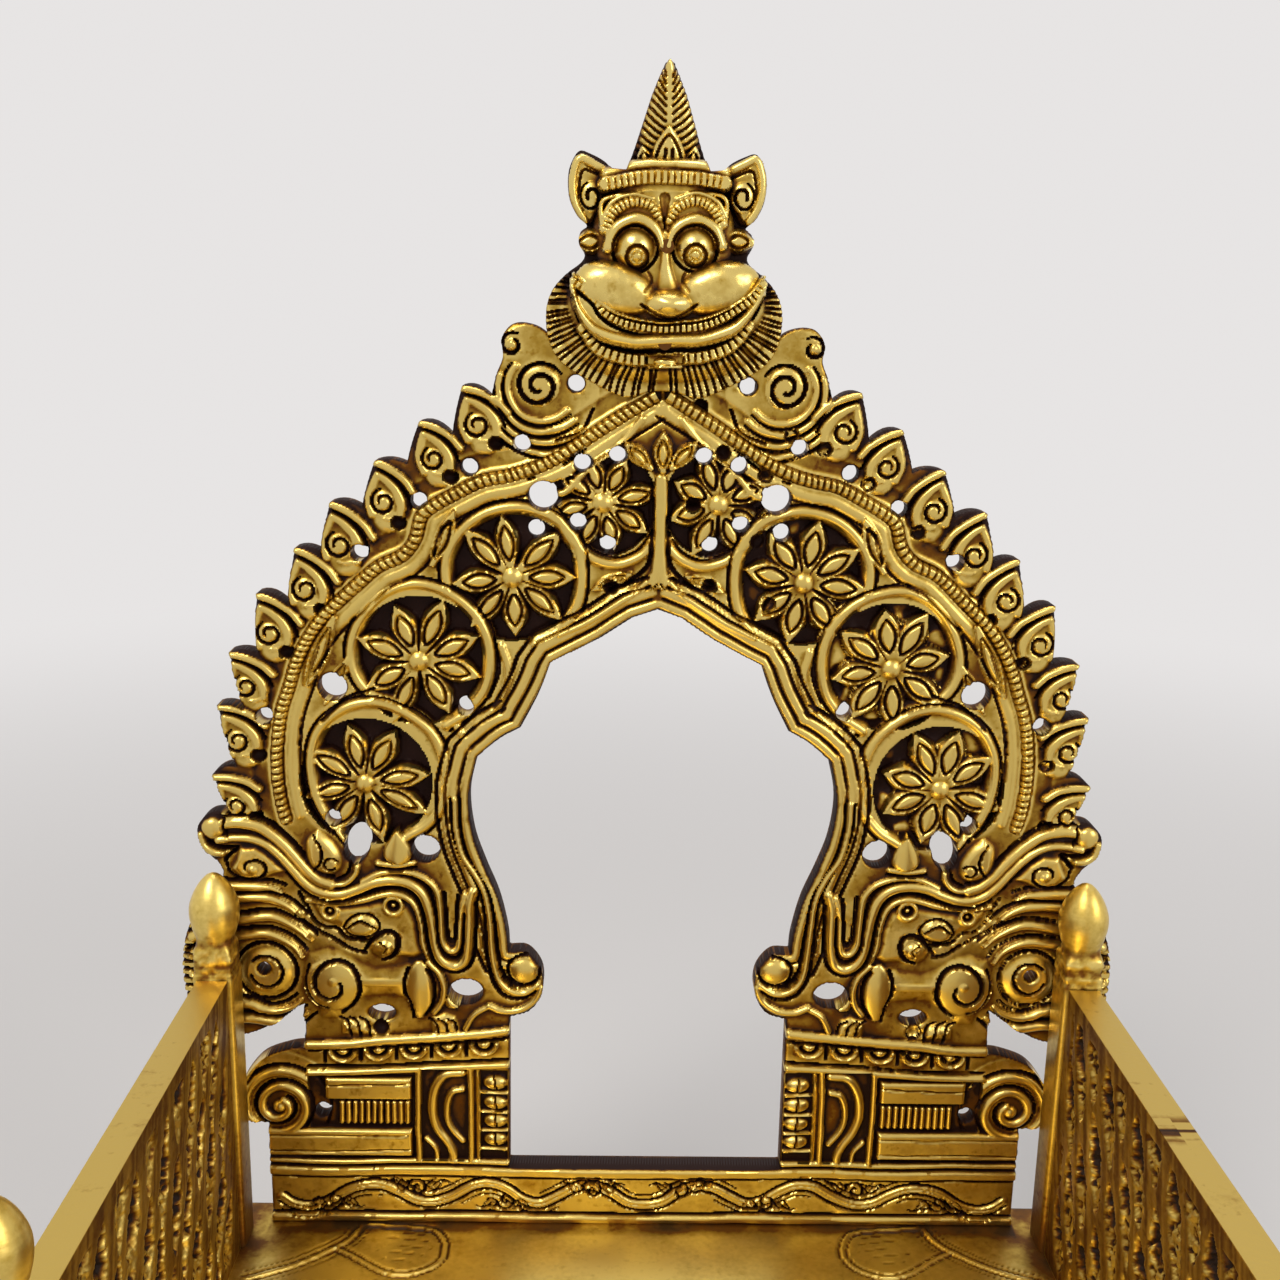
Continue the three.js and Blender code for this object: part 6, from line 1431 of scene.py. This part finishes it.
def panel_face(name, side, facing, rows, seed):
    """Half of a panel's thickness: leaning satin ribs with rough cast pits between them."""
    field = Relief(-PANEL_HALF, PANEL_HALF, 0, PANEL_HEIGHT, PANEL_HEIGHT / rows, wobble=0.9, seed=seed)
    gen = np.random.default_rng(seed)
    facing_x = side * facing
    along = -facing_x
    middle = PANEL_HEIGHT / 2
    ragged = value_noise(field.U.shape, 90, seed + 1, 3)
    coarse = value_noise(field.U.shape, 34, seed + 4, 2)
    grit = value_noise(field.U.shape, 110, seed + 7, 2)
    depth, dark = np.zeros_like(field.U), np.zeros_like(field.U)
    for column in range(-6, 7):
        for row in range(-1, 4):
            v = 8.5 + row * PIT_ROW + (PIT_ROW / 2 if column % 2 else 0) + gen.uniform(-1.5, 1.5)
            length, width = gen.uniform(15.0, 19.0), gen.uniform(5.2, 6.8)
            drift = along * (middle - v) * PIT_DRIFT / PANEL_HEIGHT
            u = column * PIT_COLUMN + drift + gen.uniform(-0.6, 0.6)
            du = field.WU - u + (field.WV - v) * along * PIT_LEAN + 0.4 * coarse
            dv = field.WV - v
            body = width / 2 * np.cos(np.clip(dv / length * 2, -1, 1) * math.pi / 2) ** 0.6 + 1e-3
            pit = np.clip(1 - np.abs(du) / body + 0.4 * ragged, 0, 0.35) / 0.35 * (np.abs(dv) < length / 2)
            depth = np.maximum(depth, pit)
            drop, reach = length * gen.uniform(0.1, 0.26), length * gen.uniform(0.1, 0.2) * 1.35
            hole = np.hypot(du / (width * 0.5), (dv - drop) / reach)
            dark = np.maximum(dark, np.clip(1.6 - hole + 0.5 * ragged, 0, 1) * pit)
    # The pits stop short of the panel's plain border
    border = np.minimum.reduce([field.V - 2.2, PANEL_HEIGHT - 3.0 - field.V,
                                PANEL_HALF - 3.4 - np.abs(field.U)])
    inset = np.clip(border + 0.3 * coarse, 0, 1)
    depth, dark = depth * inset, dark * inset
    field.H += PANEL_SKIN - depth * np.clip(0.75 + 0.55 * grit + 0.3 * coarse, 0.15, 1.6) - 1.3 * dark
    field.H -= 0.16 * np.clip(coarse, 0, 1) * (1 - depth) * inset
    field.H = np.minimum(field.H, PANEL_SKIN)
    lanes = np.interp(field.WU + along * PIT_LEAN * (field.WV - middle), np.linspace(-60, 60, LANES),
                      gen.uniform(-1, 1, LANES))
    # Painted shade on the ribs: the 0.22 darkens faces turned inwards for the dark room they reflect, and
    # the lanes add brown streaks. Painted highlights in the pits: their floors are lighter, with dark
    # grains among the lit ones.
    field.tint = (0.22 + 0.2 * lanes) * (1 - depth) - depth * (0.45 - 2.8 * np.clip(grit - 0.05, 0, 1))
    # Painted shadow over the oxide at the deep upper end of each pit, where the light from above does not
    # reach
    field.tint += 1.4 * dark
    rim = np.minimum(np.minimum(field.V, PANEL_HEIGHT - field.V), PANEL_HALF - np.abs(field.U)) < 0.2
    field.tint[rim] = -0.4
    if side > 0:
        scar = np.exp(-((PANEL_Y + facing_x * field.U - SCAR_Y) / 3.0) ** 2)
        field.tint += (0.55 + 1.6 * ragged) * rim * scar

    def place(u, v, height):
        return np.column_stack([POST_X * side + facing_x * height, PANEL_Y + facing_x * u, v + SEAT_TOP])

    return relief_mesh(name, field, place, 0.0, wall_patina=None, back_patina=0.1, fine=0.6, broad=2.0,
                       gain=0.4)


def join(*parts):
    """One object out of several."""
    with bpy.context.temp_override(active_object=parts[0], object=parts[0], selected_objects=list(parts),
                                   selected_editable_objects=list(parts)):
        bpy.ops.object.join()
    return parts[0]


# Seat plate

SEAT_HALF_X = 93.3
SEAT_HALF_Y = 61.6
SEAT_THICK = 4.0
SEAT_STEP = 0.5
# Loop of inlaid wire in a corner of the seat, and the twisted cord that runs on from it
SEAT_LOOP = [(56.2, 54.2), (50.0, 53.6), (43.7, 52.6), (41.2, 50.3), (40.0, 46.2), (40.8, 42.4),
             (43.3, 40.0), (47.0, 38.7), (51.0, 39.3), (54.3, 41.4), (58.2, 44.4), (61.4, 46.5)]
SEAT_CORD = [(57.6, 53.8), (59.6, 49.2), (63.0, 45.8), (67.8, 42.0), (72.6, 39.3), (77.6, 37.0)]
SEAT_HATCH = [((44.0, 50.6), (50.5, 51.8)), ((43.0, 48.6), (52.6, 50.2)), ((43.0, 46.4), (50.0, 47.6)),
              ((44.4, 44.4), (53.6, 46.0)), ((46.0, 42.4), (52.0, 43.4))]


def draw_seat_corner(field, sx, sy):
    """The ornament beside one post: sx and sy say which."""
    def at(points):
        p = np.array(points, float) * (sx, sy)
        return p - (0, 1.6) if sy < 0 else p

    loop, cord = smooth(at(SEAT_LOOP)), smooth(at(SEAT_CORD))
    for line, gap in ((loop, 0.75), (cord, 0.95)):
        field.stroke(line, 1.1, 0.22, mode="add", ribs=1.25 if line is cord else 0, rib_depth=0.8,
                     slant=1.2)
        for side in (-1, 1):
            field.cut(offset(line, side * gap), 0.55, 0.4)
    for side in (-1, 1):
        field.cut(offset(cord, side * 2.2), 0.5, 0.25, taper=(0.4, 1, 0.3))
    for start, end in SEAT_HATCH:
        field.cut(at([start, end]), 0.5, 0.22, taper=(0.4, 1, 0.3))


def make_seat():
    """The plate, plain but for the corners' ornament, browner towards the rear corners, round the posts and
    along the panels and the arch.
    """
    field = Relief(-SEAT_HALF_X, SEAT_HALF_X, -SEAT_HALF_Y, SEAT_HALF_Y, SEAT_STEP, wobble=0.3, seed=41)
    for sx in (-1, 1):
        for sy in (-1, 1):
            draw_seat_corner(field, sx, sy)
    field.H += 0.05 * value_noise(field.H.shape, 9, 4, 2) - 0.05
    worn = value_noise(field.H.shape, 26, 8, 3)
    # Browner towards the rear corners, round the posts and along the panels and the arch
    rear = np.clip((field.V - 38) / 16, 0, 1) * np.clip((np.abs(field.U) - 20) / 40, 0.15, 1)
    post = np.minimum(np.hypot(np.abs(field.U) - POST_X, field.V - POST_REAR_Y),
                      np.hypot(np.abs(field.U) - POST_X, field.V - POST_FRONT_Y))
    panel = np.clip(1 - (POST_X - PANEL_SKIN - np.abs(field.U)) / 5, 0, 1) * (np.abs(field.U) < POST_X)
    foot = np.clip(1 - (53.0 - field.V) / 2.2, 0, 1) * (np.abs(field.U) < SLAB_HALF)
    brown = 0.34 * rear + 0.3 * np.clip(1.4 - post / 9, 0, 1) + 0.35 * panel + 0.5 * foot
    field.tint = brown * (1 + 0.9 * worn) + 0.1 * worn
    field.edge = np.maximum(np.abs(field.U) - SEAT_HALF_X, np.abs(field.V) - SEAT_HALF_Y)
    field.rounded(0.6)
    field.edge[:] = FAR_INSIDE

    def place(u, v, height):
        return np.column_stack([u, v, SEAT_TOP + height])

    return relief_mesh("seat_casting", field, place, -SEAT_THICK, wall_patina=0.2, fine=0.6, broad=1.8)


# Plinth

# Inner faces of the aprons, and the foot and top of the plinth
APRON_X = 87.3
APRON_Y = 55.6
PLINTH_FOOT = 13.0
PLINTH_TOP = 63.0
# Apron: how far the base and the wall stand out, and the radii of its torus and cavetto
BASE_OUT = 9
WALL_OUT = 3.0
TORUS = 2.4
CAVETTO = 2.0
APRON_PATINA = ([13, 14, 21, 22.2, 24, 27, 30, 36, 54, 56.5, 58, 63],
                [0.3, -0.05, -0.05, 0.7, -0.1, 0.55, 0.3, 0.05, 0.08, 0.5, -0.1, 0.2])
APRON_RUNS = 9


def arc_points(cx, cz, radius, start, end):
    return [(cx + radius * math.cos(a), cz + radius * math.sin(a))
            for a in np.radians(np.linspace(start, end, 12))]


def apron_section():
    """Distance out and height, from the foot over base, torus, cove, wall and cornice."""
    axis = BASE_OUT - TORUS
    cove_foot = PLINTH_FOOT + BASE_OUT + TORUS * 2
    cove = axis - WALL_OUT
    points = [(0, PLINTH_FOOT), (8.4, PLINTH_FOOT), (BASE_OUT, 13.6), (BASE_OUT, 21.4), (8.6, 22)]
    points += arc_points(axis, cove_foot - TORUS, TORUS, -80, 90)
    points += arc_points(axis, cove_foot + cove, cove, -90, -180)
    points += arc_points(WALL_OUT + CAVETTO, PLINTH_TOP - 6 - CAVETTO, CAVETTO, 180, 90)
    points += [(5, 57.4), (5, 62.6), (4.6, PLINTH_TOP), (0, PLINTH_TOP)]
    return np.array(points)


def make_apron(name, axis, sign):
    """A mitred moulding; axis and sign say which way it looks."""
    section = apron_section()
    end = APRON_X if axis == "y" else APRON_Y
    off = APRON_Y if axis == "y" else APRON_X
    rings = []
    for t in np.linspace(-1, 1, APRON_RUNS):
        run = t * (end + section[:, 0])
        out = sign * (off + section[:, 0])
        x, y = (run, out) if axis == "y" else (out, run)
        rings.append(np.column_stack([x, y, section[:, 1]]))
    return swept(name, rings, np.tile(np.interp(section[:, 1], *APRON_PATINA), (APRON_RUNS, 1)))


# Foot: shares of its radius and height, then the patina by height; its stud goes up into the block
FOOT_SECTION = [(0.66, 0), (0.92, 0.14), (1, 0.36), (0.9, 0.58), (0.6, 0.76), (0.72, 0.84), (0.86, 0.9),
                (0.86, 0.999)]
FOOT_PATINA = ([0, 3, 8, 10, 12, 13], [0.5, 0.1, 0.2, 0.8, 0.3, 0.5])
FOOT_RADIUS = 7.0
SOLE_RADIUS = 3.9
STUD_RADIUS = 4.1
STUD_TOP = 21.5


def make_foot(name, x, y):
    profile = smooth(np.array(FOOT_SECTION) * (FOOT_RADIUS, PLINTH_FOOT), 6)
    profile[:, 1] = np.clip(profile[:, 1], 0, PLINTH_FOOT)
    stud = [[STUD_RADIUS, PLINTH_FOOT], [STUD_RADIUS, STUD_TOP]]
    profile = np.vstack([[[SOLE_RADIUS, 0]], profile[1:], stud])
    return turned(name, profile, (x, y, 0), np.interp(profile[:, 1], *FOOT_PATINA))


# Screws and rivets

SCREW_HEAD = 2.8
SCREW_HIGH = 1.8
SCREW_SHANK = 1.5
SCREW_STEP = 0.14


def make_screw(name, head, facing, shank, turn):
    """A slotted head on its shank; head is the middle of its seat, facing the way it looks out."""
    field = Relief(-SCREW_HEAD, SCREW_HEAD, -SCREW_HEAD, SCREW_HEAD, SCREW_STEP)
    r = np.hypot(field.U, field.V) / SCREW_HEAD
    field.H = SCREW_HIGH * (1 - 0.62 * np.clip(r, 0, 1) ** 2.6)
    slot = 3 * np.array([math.cos(turn), math.sin(turn)])
    field.cut([-slot, slot], 0.8, 0.9, profile=flat_top)
    field.outline(ring((0, 0), SCREW_HEAD)[:-1])
    out = np.array(facing, float)
    right = np.cross((0, 0, 1), out)

    def place(u, v, height):
        return np.array(head) + np.outer(u, right) + np.outer(v, (0, 0, 1)) + np.outer(height, out)

    angle = round_angles(24)
    rounds = [np.array(head) + np.outer(SCREW_SHANK * np.cos(angle), right) + out * at
              + np.outer(SCREW_SHANK * np.sin(angle), (0, 0, 1)) for at in (-shank, 0.2)]
    return join(relief_mesh(name, field, place, 0.0, wall_patina=0.2, fine=0.4, broad=0.9),
                swept("shank", rounds, 0.3))


# Rivet, from the end of its shank in the mask to the top of its head: radius, place and patina
RIVET = [(1.2, 48.1, 0.3), (1.2, ARCH_BACK, 0.5), (2.4, ARCH_BACK, 0.3), (2.35, 60.2, 0.1),
         (1.9, 60.65, -0.1), (1.2, 60.85, -0.2), (0.1, 60.9, -0.2)]


def make_rivet(name, z):
    angle = round_angles(40)
    rounds = [np.column_stack([r * np.sin(angle), np.full(len(angle), y), z + r * np.cos(angle)])
              for r, y, _ in RIVET]
    return swept(name, rounds, np.array(RIVET)[:, 2])


# Everything in its place

HANDS = (("right", 1), ("left", -1))
# Row, hand, and which side of the middle: across, then to the rear
CORNERS = [(row, hand, sx, sy) for row, sy in (("rear", 1), ("front", -1)) for hand, sx in HANDS]
# Middle of the corner blocks, and where their screws enter; the tang screws are in the rear apron
BLOCK_X = 81.3
BLOCK_Y = 49.6
END_SCREW_Y = 43.6
END_SCREW_Z = 44.0
SIDE_SCREW_X = 75.3
SIDE_SCREW_Z = 34.0
BLOCK_SHANK = 13.8
TANG_SCREW_X = 38.2
TANG_SCREW_Y = 53.45
TANG_SCREW_Z = 59.05
TANG_SHANK = 4.0
# Heights of the mask's rivets, as shares of the arch's height
RIVET_SHARES = (("lower", 0.79), ("upper", 0.862))

finish_piece(make_arch(), CAST, "aged_brass", "back_arch")
for hand, side in HANDS:
    finish_piece(make_rope(f"arch_rope_{hand}", side), CAST, "aged_brass")
finish_piece(make_mask(), MASK, "aged_brass", "guardian_mask")

for row, hand, sx, sy in CORNERS:
    y = POST_REAR_Y if sy > 0 else POST_FRONT_Y
    post = make_post(f"post_{row}_{hand}", POST_X * sx, y, 60 + sx + int(y))
    finish_piece(post, POLISHED, "polished_brass", f"corner_post_{row}_{hand}")

for hand, side in HANDS:
    inner = panel_face(f"lattice_panel_{hand}", side, -1, INNER_ROWS, 70 + side)
    outer = panel_face("outer_face", side, 1, OUTER_ROWS, 80 + side)
    finish_piece(join(inner, outer), SATIN, "satin_brass", f"side_panel_{hand}")

finish_piece(make_seat(), POLISHED, "polished_brass", "seat_plate")

for name, axis, sign in (("front", "y", -1), ("rear", "y", 1), ("left", "x", -1), ("right", "x", 1)):
    finish_piece(make_apron(f"{name}_moulding", axis, sign), SATIN, "aged_brass", f"{name}_apron")

for row, hand, sx, sy in CORNERS:
    foot = make_foot(f"bun_foot_{row}_{hand}", BLOCK_X * sx, BLOCK_Y * sy)
    finish_piece(foot, POLISHED, "polished_brass", f"foot_{row}_{hand}")

for level, share in RIVET_SHARES:
    rivet = make_rivet(f"rivet_{level}", SEAT_TOP + share * ARCH_HEIGHT)
    finish_piece(rivet, SCREW, "screw_brass", f"mask_rivet_{level}")

for name, x in (("left", -TANG_SCREW_X), ("middle", 0), ("right", TANG_SCREW_X)):
    seat = (x, TANG_SCREW_Y, TANG_SCREW_Z)
    screw = make_screw(f"tang_screw_{name}", seat, (0, -1, 0), TANG_SHANK, 0.3 + x)
    finish_piece(screw, SCREW, "screw_brass", f"arch_screw_{name}")

for row, hand, sx, sy in CORNERS:
    corner = f"{row}_{hand}"
    seat = (BLOCK_X * sx, END_SCREW_Y * sy, END_SCREW_Z)
    screw = make_screw(f"block_end_screw_{corner}", seat, (0, -sy, 0), BLOCK_SHANK, 0.5 * sx + sy)
    finish_piece(screw, SCREW, "screw_brass", f"end_screw_{corner}")
    seat = (SIDE_SCREW_X * sx, BLOCK_Y * sy, SIDE_SCREW_Z)
    screw = make_screw(f"block_side_screw_{corner}", seat, (-sx, 0, 0), BLOCK_SHANK, sx + 0.4 * sy)
    finish_piece(screw, SCREW, "screw_brass", f"side_screw_{corner}")
    # The block keeps its CAD mesh and is only given its metal
    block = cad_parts[f"corner_block_{corner}"]
    block.data.materials.clear()
    block.data.materials.append(ROUGH)


# Studio

# Camera fitted to the photograph: place and focal length in millimetres, angles in degrees
CAMERA_PLACE = (-8.6, -210.8, 254.2)
SENSOR_WIDTH = 36
FOCAL = 1463 / 1280 * SENSOR_WIDTH
PITCH = 13.40
YAW = 1.17
ROLL = 1.15
# Name, place, aim, size, power and colour of each lamp
LAMPS = [("key", (-0.9, -1.35, 1.95), (0, 0, 0.17), 0.9, 26.0, (1, 0.98, 0.95)),
         ("fill", (1.6, -1.2, 1.0), (0, 0, 0.17), 1.0, 14.0, (1, 1, 1)),
         ("top", (0.1, 0.5, 2.2), (0, 0.03, 0.15), 0.8, 12.0, (1, 1, 1))]
# Colours of the floor and background, and of the room that lights the throne
PALE = (0.80, 0.78, 0.775, 1)
ROOM = (0.42, 0.41, 0.40, 1)
# Distances from the middle at which the floor begins to fade and is gone, in metres
FADE_START = 0.3
FADE_END = 1.0


def add_camera():
    pitch, yaw, roll = (math.radians(a) for a in (PITCH, YAW, ROLL))
    forward = Vector((math.sin(yaw) * math.cos(pitch), math.cos(yaw) * math.cos(pitch), -math.sin(pitch)))
    level = Vector((math.cos(yaw), -math.sin(yaw), 0))
    upright = level.cross(forward)
    right = math.cos(roll) * level + math.sin(roll) * upright
    up = -math.sin(roll) * level + math.cos(roll) * upright
    data = bpy.data.cameras.new("camera")
    data.sensor_fit = "HORIZONTAL"
    data.sensor_width = SENSOR_WIDTH
    data.lens = FOCAL
    data.clip_start = 0.01
    camera = bpy.data.objects.new("camera", data)
    axes = Matrix((right, up, -forward)).transposed().to_4x4()
    camera.matrix_world = Matrix.Translation(Vector(CAMERA_PLACE) * MM) @ axes
    bpy.context.scene.collection.objects.link(camera)
    bpy.context.scene.camera = camera


def add_lamp(name, place, aim, size, power, colour):
    data = bpy.data.lights.new(name, "AREA")
    data.shape = "SQUARE"
    data.size = size
    data.energy = power
    data.color = colour
    lamp = bpy.data.objects.new(name, data)
    lamp.location = place
    lamp.rotation_euler = (Vector(aim) - Vector(place)).to_track_quat("-Z", "Y").to_euler()
    bpy.context.scene.collection.objects.link(lamp)


def seen_directly(nodes, links):
    """1 for the rays that show the background: to the camera, in a reflection or through glass."""
    path = nodes.new("ShaderNodeLightPath")
    out = path.outputs["Is Camera Ray"]
    for kind in ("Is Glossy Ray", "Is Transmission Ray"):
        node = nodes.new("ShaderNodeMath")
        node.operation = "MAXIMUM"
        links.new(out, node.inputs[0])
        links.new(path.outputs[kind], node.inputs[1])
        out = node.outputs[0]
    return out


def add_world():
    """An even grey room for the light, and a pale background to be seen."""
    world = bpy.data.worlds.new("studio")
    bpy.context.scene.world = world
    world.use_nodes = True
    nodes, links = world.node_tree.nodes, world.node_tree.links
    room = nodes["Background"]
    room.inputs["Color"].default_value = ROOM
    room.inputs["Strength"].default_value = 0.5
    pale = nodes.new("ShaderNodeBackground")
    pale.inputs["Color"].default_value = PALE
    mix = nodes.new("ShaderNodeMixShader")
    links.new(seen_directly(nodes, links), mix.inputs["Fac"])
    links.new(room.outputs[0], mix.inputs[1])
    links.new(pale.outputs[0], mix.inputs[2])
    links.new(mix.outputs[0], nodes["World Output"].inputs["Surface"])


def add_floor():
    """A pale floor that keeps the shadow near the object and runs into the background further out."""
    bpy.ops.mesh.primitive_plane_add(size=8, location=(0, 0, 0))
    floor = bpy.context.object
    floor.name = "floor"
    mat = bpy.data.materials.new("pale_floor")
    mat.use_nodes = True
    nodes, links = mat.node_tree.nodes, mat.node_tree.links
    shader = nodes["Principled BSDF"]
    shader.inputs["Base Color"].default_value = PALE
    shader.inputs["Roughness"].default_value = 0.8
    shader.inputs["Specular IOR Level"].default_value = 0.1
    pale = nodes.new("ShaderNodeEmission")
    pale.inputs["Color"].default_value = PALE
    length = nodes.new("ShaderNodeVectorMath")
    length.operation = "LENGTH"
    links.new(nodes.new("ShaderNodeTexCoord").outputs["Object"], length.inputs[0])
    far = nodes.new("ShaderNodeMapRange")
    far.interpolation_type = "SMOOTHSTEP"
    far.inputs["From Min"].default_value = FADE_START
    far.inputs["From Max"].default_value = FADE_END
    links.new(length.outputs["Value"], far.inputs["Value"])
    share = nodes.new("ShaderNodeMath")
    share.operation = "MULTIPLY"
    links.new(far.outputs["Result"], share.inputs[0])
    links.new(seen_directly(nodes, links), share.inputs[1])
    mix = nodes.new("ShaderNodeMixShader")
    links.new(share.outputs[0], mix.inputs["Fac"])
    links.new(shader.outputs[0], mix.inputs[1])
    links.new(pale.outputs[0], mix.inputs[2])
    links.new(mix.outputs[0], nodes["Material Output"].inputs["Surface"])
    floor.data.materials.append(mat)


add_camera()
add_world()
add_floor()
for lamp in LAMPS:
    add_lamp(*lamp)
bpy.context.scene.view_settings.view_transform = "Standard"
